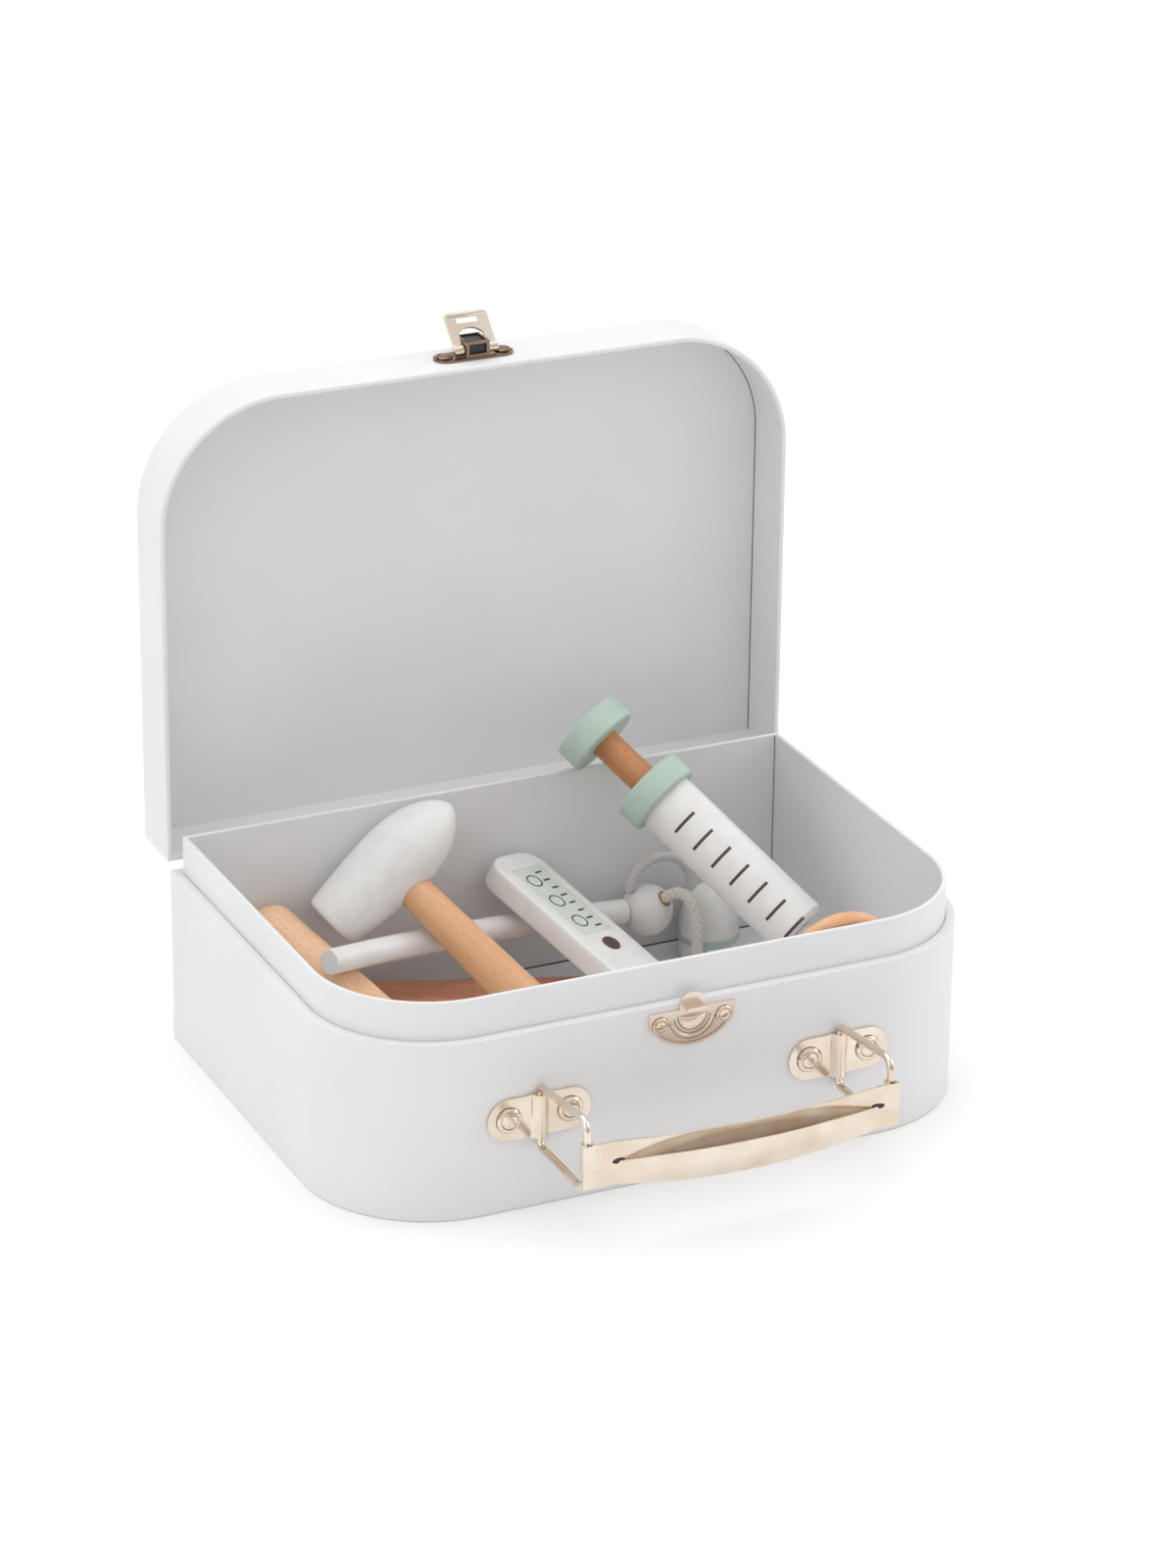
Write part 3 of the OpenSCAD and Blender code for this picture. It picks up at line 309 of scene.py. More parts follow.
def woodMaterial(name, wood, place, way, rough=0.42):
    material, tree, shader = newMaterial(name, wood["light"], rough)
    broad = noise(tree, patternSpace(tree, woodGrain["broad"], place, way), 4, 0.55, 0.6)
    lines = noise(tree, patternSpace(tree, woodGrain["line"], place, way), 3, 0.6, 0.2)
    dashes = noise(tree, patternSpace(tree, woodGrain["dash"], place, way), 1, 0.4)
    body = ramp(tree, broad, [(0.28, wood["dark"]), (0.62, wood["light"])])
    grain = mixColour(tree, rangeOf(tree, lines, 0, 0.65), body, wood["dark"])
    fleck = ramp(tree, dashes, [(0.60, (0, 0, 0)), (0.68, (1, 1, 1))])
    share = addNode(tree, "ShaderNodeMath", {0: fleck, 1: woodGrain["fleckShare"]}, operation="MULTIPLY")
    tree.links.new(mixColour(tree, share.outputs[0], grain, wood["fleck"]), shader.inputs["Base Color"])
    tree.links.new(rangeOf(tree, lines, rough - 0.06, rough + 0.12), shader.inputs["Roughness"])
    bump(tree, shader, lines, woodGrain["lineDeep"], 0.6)
    bump(tree, shader, dashes, woodGrain["dashDeep"], 0.5)
    return material


# Paint on wood
paints = {"white": (0.82, 0.81, 0.795), "mint": (0.47, 0.59, 0.51), "brown": (0.085, 0.042, 0.043),
          "panel": (0.67, 0.72, 0.67), "ink": (0.11, 0.17, 0.125), "arch": (0.60, 0.575, 0.57),
          "painted_shade": (0.014, 0.012, 0.011), "seam_shade": (0.09, 0.088, 0.09), "shade": 0.93, "rough": 0.34,
          "cloud": 9, "stipple": 0.8, "cloudDeep": 0.2, "stippleDeep": 0.03}


def paintMaterial(name, colour, rough):
    material, tree, shader = newMaterial(name, colour, rough, Coat_Weight=0.12, Coat_Roughness=0.25)
    cloud = noise(tree, patternSpace(tree, paints["cloud"]), 3)
    stipple = noise(tree, patternSpace(tree, paints["stipple"]), 2)
    shade = tuple(c * paints["shade"] for c in colour)
    tree.links.new(ramp(tree, cloud, [(0.3, shade), (0.65, colour)]), shader.inputs["Base Color"])
    tree.links.new(rangeOf(tree, cloud, rough - 0.05, rough + 0.1), shader.inputs["Roughness"])
    bump(tree, shader, stipple, paints["stippleDeep"], 0.6)
    bump(tree, shader, cloud, paints["cloudDeep"], 0.25)
    return material


paper = paperMaterial()
gold = goldMaterial("gold")
goldDark = goldMaterial("gold_shaded", grime=0.45)
# painted dark reflection on the hasp's plate, housing and rivets, with grime spots over it
goldGrimeAndDarkReflection = goldMaterial("gold_grime_and_dark_reflection", grime=0.5, tone=goldPlate["dark_reflection"])
goldSatin = goldMaterial("gold_satin", tone=goldPlate["satin"], rough=0.27)
# painted shade: dark lines at the rivets and beside the catch's pressed beads
goldShadeLine = goldMaterial("gold_shade_line", tone=goldPlate["line"])
goldLipShade = goldMaterial("gold_lip_shade", lip_shade=True)
# painted shade: the dark inside the hasp's housing and at the grip's slit ends
paintedShadePaint = paintMaterial("painted_shade", paints["painted_shade"], 0.4)
# painted shade in the open joints of the lining
seamShadePaint = paintMaterial("seam_shade", paints["seam_shade"], 0.75)
whitePaint = paintMaterial("white_paint", paints["white"], paints["rough"])
mintPaint = paintMaterial("mint_paint", paints["mint"], 0.42)
brownPaint = paintMaterial("brown_paint", paints["brown"], 0.28)
panelPaint = paintMaterial("panel_paint", paints["panel"], 0.45)
inkPaint = paintMaterial("ink", paints["ink"], 0.5)
# the arch's grey is partly the tube's own grey and partly painted shade
archPaint = paintMaterial("arch_paint", paints["arch"], 0.25)
print("materials made")


# Braided cord of the stethoscope: the route repeats the part's points
braid = {"diameter": 4.8, "strands": 8, "strandR": 0.95, "laps": 5, "sides": 8, "coreSides": 14, "steps": 10,
         "coreIn": 1.45, "sunk": 0.28, "weave": 0.26, "colour": (0.80, 0.76, 0.70),
         "light": (0.82, 0.79, 0.74), "dark": (0.62, 0.58, 0.52), "thread": 0.35, "threadDeep": 0.1,
         "route": [(60.6, 68.4, 25.5), (62.4, 66.1, 28), (64.2, 63.7, 30.6), (66, 61.2, 33.2),
                   (67.9, 58.6, 34.8), (69.9, 56, 34.4), (71.4, 53.8, 31.8), (72.2, 52.4, 28),
                   (72.6, 51.6, 23.6), (72.8, 51.3, 19), (73, 51.4, 14.6), (73.5, 52, 11),
                   (74.6, 53.2, 8.4), (76.2, 55, 7.2), (78.2, 57.2, 7), (79.6, 58.8, 7)]}


def smoothRoute(points, steps):
    points = [Vector(p) for p in points]
    route = []
    for i in range(len(points) - 1):
        p0, p1, p2, p3 = points[max(i - 1, 0)], points[i], points[i + 1], points[min(i + 2, len(points) - 1)]
        for k in range(steps):
            t = k / steps
            route.append(0.5 * (2 * p1 + (p2 - p0) * t + (2 * p0 - 5 * p1 + 4 * p2 - p3) * t ** 2
                                + (3 * p1 - p0 - 3 * p2 + p3) * t ** 3))
    return route + [points[-1]]


def cordPiece():
    route = smoothRoute(braid["route"], braid["steps"])
    length = sum((b - a).length for a, b in zip(route, route[1:]))
    core, pairs = braid["diameter"] / 2, braid["strands"] / 2
    frames, side = [], None
    for i, place in enumerate(route):
        way = (route[min(i + 1, len(route) - 1)] - route[max(i - 1, 0)]).normalized()
        side = way.orthogonal().normalized() if side is None else (side - side.dot(way) * way).normalized()
        frames.append((place, side, way.cross(side)))
    tubes = [(route, core - braid["coreIn"] * braid["strandR"], braid["coreSides"])]
    for strand in range(braid["strands"]):
        turn = 1 if strand % 2 else -1
        line = []
        for i, (place, u, v) in enumerate(frames):
            a = 2 * math.pi * (turn * braid["laps"] * i / (len(frames) - 1) + strand // 2 / pairs)
            weave = turn * math.cos(pairs * a)  # over and under the strands that turn the other way
            r = core - braid["strandR"] - braid["sunk"] + braid["weave"] * weave
            line.append(place + r * (math.cos(a) * u + math.sin(a) * v))
        tubes.append((line, braid["strandR"], braid["sides"]))
    piece = roundEdges(addObject("braided_cord", tubesMesh("braided_cord", tubes)), 0)
    material, tree, shader = newMaterial("cord", braid["colour"], 0.8, Sheen_Weight=0.3)
    thread = noise(tree, patternSpace(tree, braid["thread"]), 4, 0.7)
    tree.links.new(ramp(tree, thread, [(0.3, braid["dark"]), (0.6, braid["light"])]),
                   shader.inputs["Base Color"])
    bump(tree, shader, thread, braid["threadDeep"])
    finishPiece(piece, "case", material, ["stethoscope_cord"])
    return length


print("cord, mm:", round(cordPiece(), 1))


# Case and lid: boards wrapped in paper, the outside in one skin without seams
case = {"width": 250, "depth": 174, "wall": 68, "corner": 47.3, "board": 3.6, "floor": 3, "glue": 0.05,
        "collar": 1.75, "rim": 82.3, "lidBoard": 2, "lidEdge": 68.2, "lidTop": 92.2,
        "pinY": 88.9, "pinZ": 68.1, "wrap": 0.7, "cornerSteps": 32}


def caseOutline(inset):
    halfW, halfD = case["width"] / 2 - inset, case["depth"] / 2 - inset
    r = case["corner"] - inset
    line = [(halfW, halfD), (-halfW, halfD)]
    for side, start in ((-1, 180), (1, 270)):
        for k in range(case["cornerSteps"] + 1):
            a = math.radians(start + 90 * k / case["cornerSteps"])
            line.append((side * (halfW - r) + r * math.cos(a), -halfD + r + r * math.sin(a)))
    return line


def onLid(x, y, z):  # from the closed lid's place to the open one's
    return (x, case["pinY"] + z - case["pinZ"], case["pinZ"] - y + case["pinY"])


# A ring of board, or a tray where the height of its bottom's inner face is given as inside
def boardPiece(name, inset, thick, low, high, place=None, inside=None):
    outer, inner = caseOutline(inset), caseOutline(inset + thick)
    foot = low if inside is None else inside
    points = [(x, y, z) for line, z in ((outer, low), (outer, high), (inner, foot), (inner, high))
              for x, y in line]
    count = len(outer)
    a, b, c, d = 0, count, 2 * count, 3 * count
    faces = []
    for k in range(count):
        m = (k + 1) % count
        faces += [(a + k, a + m, b + m, b + k), (c + k, c + m, d + m, d + k), (b + k, b + m, d + m, d + k)]
        if inside is None:
            faces += [(a + k, a + m, c + m, c + k)]
    if inside is not None:
        faces += [tuple(a + k for k in range(count)), tuple(c + k for k in range(count))]
    if place:
        points = [place(*point) for point in points]
    return roundEdges(addObject(name, meshFrom(name, points, faces)), case["wrap"], 3, 40)


wall = boardPiece("outer_wall", 0, case["board"], 0, case["wall"])
finishPiece(wall, "case", paper, ["base_band", "base_back"])
collar = boardPiece("collar_board", case["board"] + case["glue"], case["collar"], case["floor"], case["rim"])
finishPiece(collar, "case", paper, ["inner_collar"])
lidInside = case["lidTop"] - case["lidBoard"]
lidShell = boardPiece("lid_shell", 0, case["lidBoard"], case["lidTop"], case["lidEdge"], onLid, lidInside)
finishPiece(lidShell, "lid", paper, ["lid_band", "lid_back", "lid_panel"])
dressNode("base_floor", paper, 0.2)

# Painted shade, thin and dark, in the open joints between the lining boards
seams = {"radius": 0.42, "sides": 8, "inner": 119.6, "back": 81.6, "floorEnd": 2, "low": 1, "high": 0.8}


def seamShadePiece(name, lines, body):
    tubes = [([Vector(p) for p in line], seams["radius"], seams["sides"]) for line in lines]
    finishPiece(roundEdges(addObject(name, tubesMesh(name, tubes)), 0), body, seamShadePaint)


back, low, high = seams["back"], case["floor"], case["rim"]
floorEnd = seams["inner"] - seams["floorEnd"]
seamShadePiece("lining_seam_shade", [[(-floorEnd, back, low), (floorEnd, back, low)]]
          + [[(side * seams["inner"], back, low + seams["low"]),
              (side * seams["inner"], back, high - seams["high"])] for side in (-1, 1)], "case")
lidInner = caseOutline(case["lidBoard"])
seamShadePiece("lid_seam_shade", [[onLid(x, y, lidInside) for x, y in lidInner[1:] + lidInner[:1]]], "lid")
print("boards made")

# Fittings in the CAD's own shapes: edge width in mm, its steps, the least angle of an edge, and the finishes
for width, steps, angle, finishes in (
        (0.12, 2, 35, {"hinge_leaves_lower": gold, "hinge_leaves_upper": gold, "hinge_pins": gold}),
        (0.06, 2, 30, {"hinge_rivets_base": goldDark, "hinge_rivets_lid": goldDark, "catch_rivets": goldDark,
                       "hasp_rivets": goldGrimeAndDarkReflection, "bracket_rivets": goldDark}),
        (0.22, 3, 40, {"catch_plate": goldSatin, "hasp_plate": goldGrimeAndDarkReflection, "bracket_left": gold,
                       "bracket_right": gold}),
        (0.18, 3, 40, {"hasp_housing": goldGrimeAndDarkReflection, "hasp_flap": gold, "hasp_pin": gold})):
    for node, material in finishes.items():
        dressNode(node, material, width, steps, angle)

# Painted shade: a dark block inside the hasp's housing, which is always in shade
painted_shade = {"low": (-1.95, 97.15, 245.9), "high": (5.35, 105.25, 250.3), "edge": 0.2}
points = [[(painted_shade["low"], painted_shade["high"])[(corner >> axis) & 1][axis] for axis in range(3)]
          for corner in range(8)]
faces = [(0, 1, 3, 2), (4, 5, 7, 6), (0, 1, 5, 4), (2, 3, 7, 6), (0, 2, 6, 4), (1, 3, 7, 5)]
inside = roundEdges(addObject("hasp_painted_shade", meshFrom("hasp_painted_shade", points, faces)), painted_shade["edge"])
finishPiece(inside, "lid", paintedShadePaint)

# Pressed beads round the catch's dome, and dark lines of painted shade round the dome and along the catch's
# lower edge: radius, start and end angle, thickness, and how far the arc's middle stands above the dome's
catch = {"middle": (1.7, -87.9, 62.6), "steps": 40, "sides": 10, "beads": [(7.9, 8, 172, 0.5, 0)],
         "lines": [(5.6, 0, 180, 0.22, 0), (6.9, 6, 174, 0.2, 0), (9.0, 12, 168, 0.2, 0),
                   (18.7, 38, 142, 0.24, 8.4)]}


def arcPiece(name, arcs, material):
    tubes = []
    for radius, start, end, thick, lift in arcs:
        middle = Vector(catch["middle"]) + Vector((0, 0, lift))
        angles = [math.radians(start + (end - start) * k / catch["steps"]) for k in range(catch["steps"] + 1)]
        line = [middle - radius * Vector((math.cos(a), 0, math.sin(a))) for a in angles]
        tubes.append((line, thick, catch["sides"]))
    finishPiece(roundEdges(addObject(name, tubesMesh(name, tubes)), 0), "case", material)


arcPiece("catch_beads", catch["beads"], gold)
arcPiece("catch_shade_lines", catch["lines"], goldShadeLine)
print("fittings made")


# Handle rings of bent wire
ring = {"wire": 2.8, "reach": 38, "pitch": 116, "middle": 1.7, "height": 35.8, "bracket": 16.8,
        "under": 3.6, "over": 2.5, "gripUp": 7, "pastGrip": 8.3, "foot": 0.3, "gap": 0.1,
        "bends": (2.5, 2.2, 4.5, 8), "steps": 16, "sides": 24}
knuckleY = -case["depth"] / 2 - ring["wire"] / 2 - ring["gap"]


def ringPiece(node, x):
    low, high = -ring["bracket"] / 2 - ring["under"], ring["bracket"] / 2 + ring["over"]
    corners = [Vector(c) for c in ((0, low), (0, high), (ring["reach"], ring["gripUp"] + ring["pastGrip"]),
                                   (ring["reach"], low + ring["foot"]))]
    path = []
    for i, here in enumerate(corners):
        last, after = (corners[i - 1] - here).normalized(), (corners[(i + 1) % 4] - here).normalized()
        half = last.angle(after) / 2
        middle = here + (last + after).normalized() * ring["bends"][i] / math.sin(half)
        start = here + last * ring["bends"][i] / math.tan(half) - middle
        turn = -(math.pi - 2 * half)
        for k in range(ring["steps"] + 1):
            a = turn * k / ring["steps"]
            path.append(middle + Vector((start.x * math.cos(a) - start.y * math.sin(a),
                                         start.x * math.sin(a) + start.y * math.cos(a))))
    path = [Vector((x, knuckleY - p.x, ring["height"] + p.y)) for p in path]
    points, faces = sweep(path, ring["wire"] / 2, ring["sides"], True)
    piece = roundEdges(addObject(node + "_wire", meshFrom(node + "_wire", points, faces)), 0)
    finishPiece(piece, bodyOf[node], gold, [node])


ringPiece("ring_left", ring["middle"] - ring["pitch"] / 2)
ringPiece("ring_right", ring["middle"] + ring["pitch"] / 2)

# Grip: one strip of sheet, slit along its middle and pressed open into two lips
grip = {"height": 16.4, "middleZ": 34.6, "front": -128.85, "sheet": 0.9, "halfL": 60.6, "slitSide": 2.5,
        "slitHalfL": 50.1, "slitUp": 0.6, "upperBack": 3.4, "upperSag": 3, "upperDrop": 5.4, "lowerOut": 1,
        "lowerSag": 4.5, "bulge": 3.9, "turn": 112, "upperCurve": 1.1, "lipShadeEven": 0.4, "lipShadeDeep": 0.6,
        "lipShadeSharp": 8, "seenTo": 0.87, "columns": 96, "rows": 12, "edge": 0.12, "crease": 50}
gripEye = {"outer": 2.35, "bore": 1.45, "low": 32.5, "high": 42.8, "sides": 40}
gripEnds = {"in": 0.4, "wide": 2.5, "tall": 1.05, "high": 0.12}
gripDents = {"in": 5, "z": (40.2, 32.2), "wide": 1.2, "tall": 0.72, "high": 0.14}
gripButton = {"sides": 28, "rows": 12}


def lipPoint(x, t, upper):  # t runs from a lip's outer hem to the slit, w is how far the lips stand open
    w = max(0, 1 - ((x - grip["slitSide"]) / grip["slitHalfL"]) ** 2)
    half = grip["height"] / 2
    if upper:  # turns in behind the lower lip
        out = -grip["upperBack"] * w * t ** grip["upperCurve"]
        z = (half - grip["upperSag"] * w) * (1 - t) + (grip["slitUp"] - grip["upperDrop"] * w) * t
        # lip_shade is painted shade: a little darker down the upper lip, darkest where it turns in under the
        # lower lip's shadow
        deep = min(1, t / grip["seenTo"]) ** grip["lipShadeSharp"]
        lip_shade = w * (grip["lipShadeEven"] * t + grip["lipShadeDeep"] * deep)
    else:
        out = w * (grip["lowerOut"] + grip["bulge"] * math.sin(math.radians(grip["turn"]) * t))
        z = -(half + grip["lowerSag"] * w) * (1 - t) + grip["slitUp"] * t
        lip_shade = 0
    return (x + ring["middle"], grip["front"] - out, grip["middleZ"] + z), lip_shade


def gripSheet():  # both lips as one sheet, joined where the slit is closed
    points, faces, lipShades = [], [], []
    tall = grip["rows"] + 1
    for upper in (True, False):
        first = len(points)
        for i in range(grip["columns"] + 1):
            for j in range(tall):
                spot, lip_shade = lipPoint(grip["halfL"] * (2 * i / grip["columns"] - 1), j / grip["rows"], upper)
                points.append([c * mm for c in spot])
                lipShades.append(lip_shade)
        for i in range(grip["columns"]):
            for j in range(grip["rows"]):
                a = first + i * tall + j
                quad = (a, a + 1, a + tall + 1, a + tall)
                faces.append(quad if upper else quad[::-1])
    mesh = bpy.data.meshes.new("grip_sheet")
    mesh.from_pydata(points, [], faces)
    mesh.attributes.new("lip_shade", "FLOAT", "POINT").data.foreach_set("value", lipShades)
    shape = bmesh.new()
    shape.from_mesh(mesh)
    bmesh.ops.remove_doubles(shape, verts=shape.verts, dist=same["dist"] * mm)
    bmesh.ops.recalc_face_normals(shape, faces=shape.faces)
    shape.to_mesh(mesh)
    shape.free()
    if mesh.polygons[0].normal.y > 0:
        mesh.flip_normals()
    piece = addObject("grip_sheet", mesh)
    thick = piece.modifiers.new("thick", "SOLIDIFY")
    thick.thickness = grip["sheet"] * mm
    thick.offset = -1
    return settle(piece)


def addEyes(mesh):  # the curled ends that run round the rings' wires
    shape = bmesh.new()
    shape.from_mesh(mesh)
    count = gripEye["sides"]
    for side in (-1, 1):
        middle = Vector((ring["middle"] + side * ring["pitch"] / 2, knuckleY - ring["reach"], 0))
        loops = [[shape.verts.new((middle + p) * mm) for p in circlePoints(r, count, z)]
                 for r, z in ((gripEye["outer"], gripEye["low"]), (gripEye["outer"], gripEye["high"]),
                              (gripEye["bore"], gripEye["high"]), (gripEye["bore"], gripEye["low"]))]
        for last, line in zip(loops, loops[1:] + loops[:1]):
            for k in range(count):
                m = (k + 1) % count
                shape.faces.new((last[k], last[m], line[m], line[k]))
    bmesh.ops.recalc_face_normals(shape, faces=shape.faces)
    shape.to_mesh(mesh)
    shape.free()


def gripMarks(name, mark, spots, material):  # flat buttons on the sheet's front
    sides, rows = gripButton["sides"], gripButton["rows"]
    ball = [Vector((0, 0, 1)), Vector((0, 0, -1))]
    for j in range(1, rows):
        a = math.pi * j / rows
        ball += circlePoints(math.sin(a), sides, math.cos(a))
    points, faces = [], []
    for x, z in spots:
        top, bottom, first = (len(points) + k for k in (0, 1, 2))
        middle = Vector((x + ring["middle"], grip["front"], z))
        size = (mark["wide"], mark["high"], mark["tall"])
        points += [middle + Vector(c * s for c, s in zip(p, size)) for p in ball]
        last = first + (rows - 2) * sides
        for k in range(sides):
            m = (k + 1) % sides
            faces += [(top, first + k, first + m), (bottom, last + m, last + k)]
            faces += [(a + k, a + sides + k, a + sides + m, a + m) for a in range(first, last, sides)]
    piece = roundEdges(addObject(name, meshFrom(name, points, faces)), 0)
    finishPiece(piece, bodyOf["handle_grip"], material)


gripPiece = gripSheet()
addEyes(gripPiece.data)
gripPiece.data.set_sharp_from_angle(angle=math.radians(grip["crease"]))
roundEdges(gripPiece, grip["edge"], 2, grip["crease"])
finishPiece(gripPiece, bodyOf["handle_grip"], goldLipShade, ["handle_grip"])
# dark buttons of painted shade where the slit's ends open into the grip
spots = [(grip["slitSide"] + side * (grip["slitHalfL"] - gripEnds["in"]), grip["middleZ"] + grip["slitUp"])
         for side in (-1, 1)]
gripMarks("grip_slit_end_shade", gripEnds, spots, paintedShadePaint)
spots = [(side * (grip["halfL"] - gripDents["in"]), z) for side in (-1, 1) for z in gripDents["z"]]
gripMarks("grip_dents", gripDents, spots, gold)
print("handle made")

# Loose instruments
hammer = {"place": (-46.4, 66.6, 63.4), "way": (0.46, -0.69, -0.559)}
thermometer = {"place": (25.3, 25.1, 29.54), "way": (-0.352, 0.868, 0.351), "side": (0.886, 0.43, -0.174),
               "thick": 10, "length": 121, "panelTop": 9.5, "panelL": 40}
syringe = {"place": (41.2, 77.0, 97.8), "way": (0.475, -0.678, -0.561), "barrelR": 11.7,
           "barrelFrom": 37.2}
stick = {"place": (-90.3, 72.1, 43.7), "way": (21.6, -35.1, -21.4)}
bar = {"place": (-60, 75, 3), "turn": -20.5}
mirror = {"place": (65.2, -74.5, 63.3), "way": (-0.421, 0.154, -0.894), "plate": (0.78, 0.80, 0.82),
          "smudge": 7}


def mirrorMaterial():
    material, tree, shader = newMaterial("mirror_plate", mirror["plate"], 0.05, 1.0)
    smudges = noise(tree, patternSpace(tree, mirror["smudge"]), 4, 0.6)
    tree.links.new(rangeOf(tree, smudges, 0.03, 0.10), shader.inputs["Roughness"])
    return material


beechHammer = woodMaterial("beech_hammer", beechWood, hammer["place"], hammer["way"])
beechStick = woodMaterial("beech_stick", paleWood, stick["place"], stick["way"])
beechRod = woodMaterial("beech_rod", rodWood, syringe["place"], syringe["way"], 0.36)
beechMirror = woodMaterial("beech_mirror", beechWood, mirror["place"], mirror["way"])
barWay = (math.cos(math.radians(bar["turn"])), math.sin(math.radians(bar["turn"])), 0)
redBar = woodMaterial("red_bar", redWood, bar["place"], barWay, 0.5)

dressNode("hammer_head", whitePaint, 0.8, 3, 40)
dressNode("hammer_handle", beechHammer, 1.0, 3, 40)
dressNode("wooden_handle", beechStick, 0.7, 3, 40)
dressNode("wooden_bar", redBar, 0.5, 2, 30)
dressNode("mirror_frame", beechMirror, 0, 2, 40)
dressNode("mirror_plate", mirrorMaterial(), 0.15, 2, 40)
dressNode("thermometer_body", whitePaint, 0, 2, 30)
dressNode("thermometer_panel", panelPaint, 0.1, 2)
dressNode("thermometer_button", brownPaint, 0.3, 3)
for node, material, slot in (
        ("syringe_barrel", whitePaint, "white_paint"), ("syringe_collar", mintPaint, "mint_paint"),
        ("syringe_nozzle", whitePaint, "white_paint"), ("plunger_knob", mintPaint, "mint_paint"),
        ("plunger_rod", beechRod, "beech"), ("plunger_piston", whitePaint, "white_paint"),
        ("stethoscope_arm", whitePaint, "white_paint"), ("stethoscope_bead", whitePaint, "white_paint"),
        ("stethoscope_arch", archPaint, "white_paint"), ("chest_piece", whitePaint, "white_paint"),
        ("chest_ring", mintPaint, "mint_paint")):
    dressNode(node, material, 0.35, 3, 35)

# Rim of bare wood round the cord's hole in the bead
beadHole = {"place": (64.6, 63.4, 30.9), "way": (0.469, -0.599, 0.651), "radius": 2.75, "lip": 0.55,
            "steps": 40, "sides": 10}
circle = circlePoints(beadHole["radius"], beadHole["steps"])
points, faces = sweep(circle, beadHole["lip"], beadHole["sides"], True)
lip = roundEdges(addObject("bead_hole", meshFrom("bead_hole", points, faces)), 0)
lip.data.transform(placeOn(beadHole["place"], beadHole["way"], (1, 0, 0)))
finishPiece(lip, "case", beechRod)
print("instruments made")


# Printed marks, laid on by Geometry Nodes: arcs about Z, repeated by a step
def marksTree():
    tree = bpy.data.node_groups.new("marks", "GeometryNodeTree")
    for name, kind, value in (("Count", "NodeSocketInt", 5), ("Step", "NodeSocketVector", None),
            ("Radius", "NodeSocketFloat", 0.01), ("Sweep", "NodeSocketFloat", 1.0),
            ("Along", "NodeSocketFloat", 0.001), ("Outward", "NodeSocketFloat", 0.0001),
            ("Material", "NodeSocketMaterial", None)):
        socket = tree.interface.new_socket(name=name, in_out="INPUT", socket_type=kind)
        if value is not None:
            socket.default_value = value
    tree.interface.new_socket(name="Geometry", in_out="OUTPUT", socket_type="NodeSocketGeometry")
    given = addNode(tree, "NodeGroupInput").outputs
    arc = addNode(tree, "GeometryNodeCurveArc", {"Resolution": 32, "Radius": given["Radius"],
        "Sweep Angle": given["Sweep"]}, mode="RADIUS")
    strip = addNode(tree, "GeometryNodeCurvePrimitiveQuadrilateral", {"Width": given["Outward"],
        "Height": given["Along"]}, mode="RECTANGLE")
    mark = addNode(tree, "GeometryNodeCurveToMesh", {"Curve": arc.outputs["Curve"],
        "Profile Curve": strip.outputs["Curve"], "Fill Caps": True})
    row = addNode(tree, "GeometryNodeMeshLine", {"Count": given["Count"], "Offset": given["Step"]},
                  mode="OFFSET")
    copies = addNode(tree, "GeometryNodeInstanceOnPoints", {"Points": row.outputs["Mesh"],
        "Instance": mark.outputs["Mesh"]})
    real = addNode(tree, "GeometryNodeRealizeInstances", {"Geometry": copies.outputs["Instances"]})
    inked = addNode(tree, "GeometryNodeSetMaterial", {"Geometry": real.outputs[0],
        "Material": given["Material"]})
    addNode(tree, "NodeGroupOutput", {"Geometry": inked.outputs[0]})
    return tree


marks = marksTree()


def layMarks(name, rule, place, body, material):  # a rule's lengths are in mm, its sweep in radians
    piece = addObject(name, bpy.data.meshes.new(name))
    work = piece.modifiers.new("marks", "NODES")
    work.node_group = marks
    values = {"Count": rule["count"], "Step": [c * mm for c in rule["step"]], "Radius": rule["radius"] * mm,
              "Sweep": rule["sweep"], "Along": rule["along"] * mm, "Outward": rule["outward"] * mm,
              "Material": material}
    for item in marks.interface.items_tree:
        if item.in_out == "INPUT":
            work[item.identifier] = values[item.name]
    settle(piece)
    piece.data.transform(place)
    finishPiece(piece, body, material)


def shift(x, y, z):
    return Matrix.Translation(Vector((x, y, z)) * mm)


def turned(degrees, axis):
    return Matrix.Rotation(math.radians(degrees), 4, axis)


inkRise = 0.02  # how far ink stands on its face
fullTurn = 6.28  # a hair short of closing
barrelTicks = {"count": 7, "step": (0, 0, 9.4), "radius": syringe["barrelR"] + inkRise, "sweep": 0.905,
               "along": 1.15, "outward": 0.12, "first": 12, "start": 32.3}
onBarrel = placeOn(syringe["place"], syringe["way"], (0, 0, 1))
layMarks("syringe_ticks", barrelTicks, onBarrel @ shift(0, 0, syringe["barrelFrom"] + barrelTicks["first"])
         @ turned(barrelTicks["start"], "Z"), "syringe", brownPaint)

face = Vector(thermometer["side"]).cross(Vector(thermometer["way"]))
onFace = (placeOn(thermometer["place"], face, thermometer["side"])
          @ shift(0, 0, thermometer["thick"] / 2 + inkRise))
panelLow = thermometer["length"] / 2 - thermometer["panelTop"] - thermometer["panelL"]
panelTicks = {"count": 8, "step": (4.7, 0, 0), "radius": 40, "sweep": 0.09, "along": 0.1, "outward": 0.9,
              "at": (5.6, -36.5), "turn": 90}
panelRings = {"count": 3, "step": (0, 12.4, 0), "radius": 3.1, "sweep": fullTurn, "along": 0.1,
              "outward": 0.7, "at": (-2.6, 7.6), "turn": 0}
for name, rule, material in (("panel_ticks", panelTicks, brownPaint),
                             ("panel_rings", panelRings, inkPaint)):
    place = onFace @ shift(rule["at"][0], panelLow + rule["at"][1], 0) @ turned(rule["turn"], "Z")
    layMarks(name, rule, place, "thermometer", material)
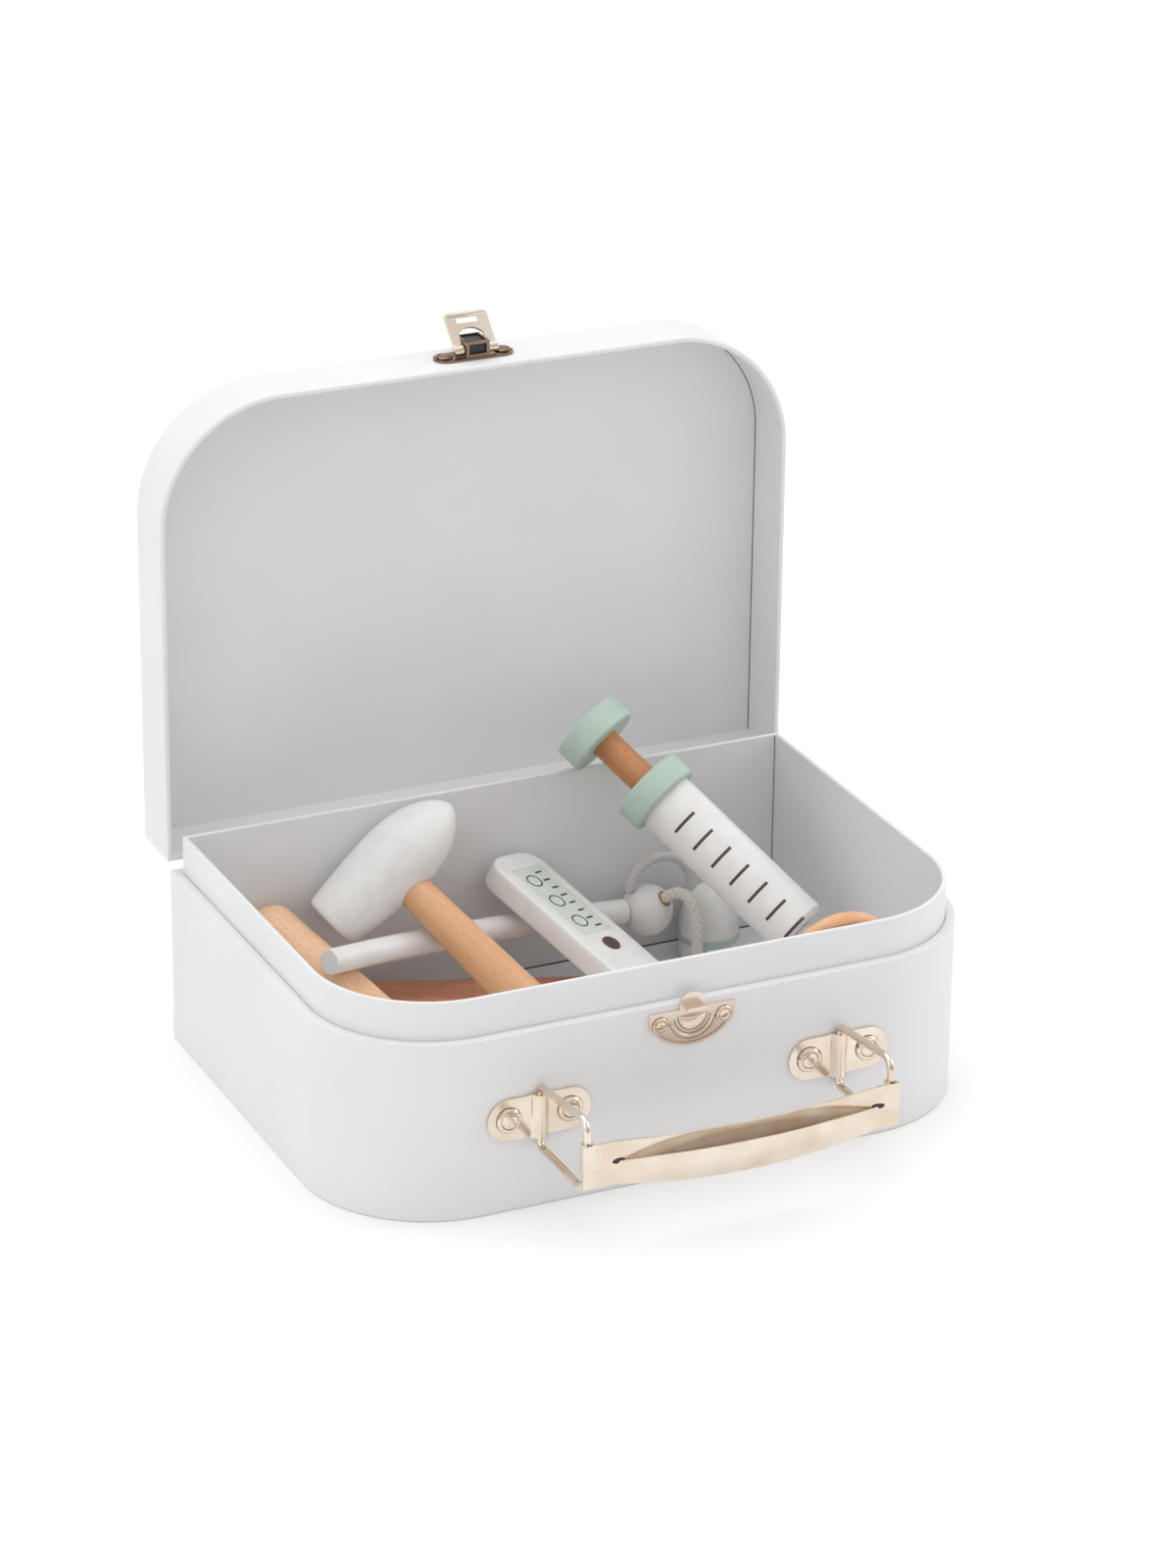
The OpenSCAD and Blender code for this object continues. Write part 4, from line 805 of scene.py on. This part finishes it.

# Painted shade as dark lines where the rivets meet their plates, and in the grooves of their heads. A pair
# has its middle, half its distance, the head's radius and how far the groove stands out
rivetShadeLines = {"pairs": {"left_bracket": (-56.3, 35.8, 11.6, 4.7, 0.78),
                        "right_bracket": (59.7, 35.8, 11.6, 4.7, 0.78),
                        "catch": (1.7, 60.6, 12.3, 3.1, 0.57)},
              "front": -87.9, "wide": 0.3, "deep": 0.16, "rim": 1.01, "rimOut": 0.1, "groove": 0.66}
for name, (x, z, half, radius, grooveOut) in rivetShadeLines["pairs"].items():
    for line, out in (("rim", rivetShadeLines["rimOut"]), ("groove", grooveOut)):
        rule = {"count": 2, "step": (2 * half, 0, 0), "radius": rivetShadeLines[line] * radius, "sweep": fullTurn,
                "along": rivetShadeLines["deep"], "outward": rivetShadeLines["wide"]}
        place = shift(x - half, rivetShadeLines["front"] - out, z) @ turned(90, "X")
        layMarks(f"{name}_rivet_{line}", rule, place, "case", goldShadeLine)
print("marks laid")


# Plain floor and soft light
studio = {"floor": 9.0, "floorColour": (0.93, 0.93, 0.93), "sky": 0.88, "behind": (0.66, 0.635, 0.615),
          "behindY": (-0.35, -0.85), "lowZ": (0.75, 0.35), "aim": (0, 0, 0.08),
          "lamps": [("top", (-0.3, 0.5, 3.0), 3.0, 36), ("left", (-1.9, -0.7, 1.2), 1.3, 4),
                    ("right", (1.9, -0.6, 1.2), 1.3, 8)]}


def buildStudio():
    half = studio["floor"] / 2
    floor = addObject("floor", meshFrom("floor", [(-half, -half, 0), (half, -half, 0), (half, half, 0),
                                                  (-half, half, 0)], [(0, 1, 2, 3)], 1))
    floor.data.materials.append(newMaterial("floor", studio["floorColour"], 0.9)[0])
    for name, place, size, power in studio["lamps"]:
        lamp = bpy.data.lights.new(name, "AREA")
        lamp.shape = "SQUARE"
        lamp.size = size
        lamp.energy = power
        holder = addObject(name, lamp)
        turn = (Vector(place) - Vector(studio["aim"])).to_track_quat("Z", "Y")
        holder.matrix_world = Matrix.Translation(Vector(place)) @ turn.to_matrix().to_4x4()
    world = bpy.data.worlds.new("studio")
    world.use_nodes = True
    tree = world.node_tree
    ray = addNode(tree, "ShaderNodeSeparateXYZ", {"Vector":
        addNode(tree, "ShaderNodeTexCoord").outputs["Generated"]})
    shares = []  # the sky is darker low down behind the camera
    for axis, (start, end) in (("Y", studio["behindY"]), ("Z", studio["lowZ"])):
        shares.append(addNode(tree, "ShaderNodeMapRange", {"Value": ray.outputs[axis], "From Min": start,
            "From Max": end}).outputs["Result"])
    dim = addNode(tree, "ShaderNodeMath", {0: shares[0], 1: shares[1]}, operation="MULTIPLY")
    sky = mixColour(tree, dim.outputs[0], (1, 1, 1), studio["behind"])
    tree.links.new(sky, tree.nodes["Background"].inputs["Color"])
    tree.nodes["Background"].inputs["Strength"].default_value = studio["sky"]
    scene.world = world
    scene.view_settings.view_transform = "Standard"


buildStudio()
print("studio lit")
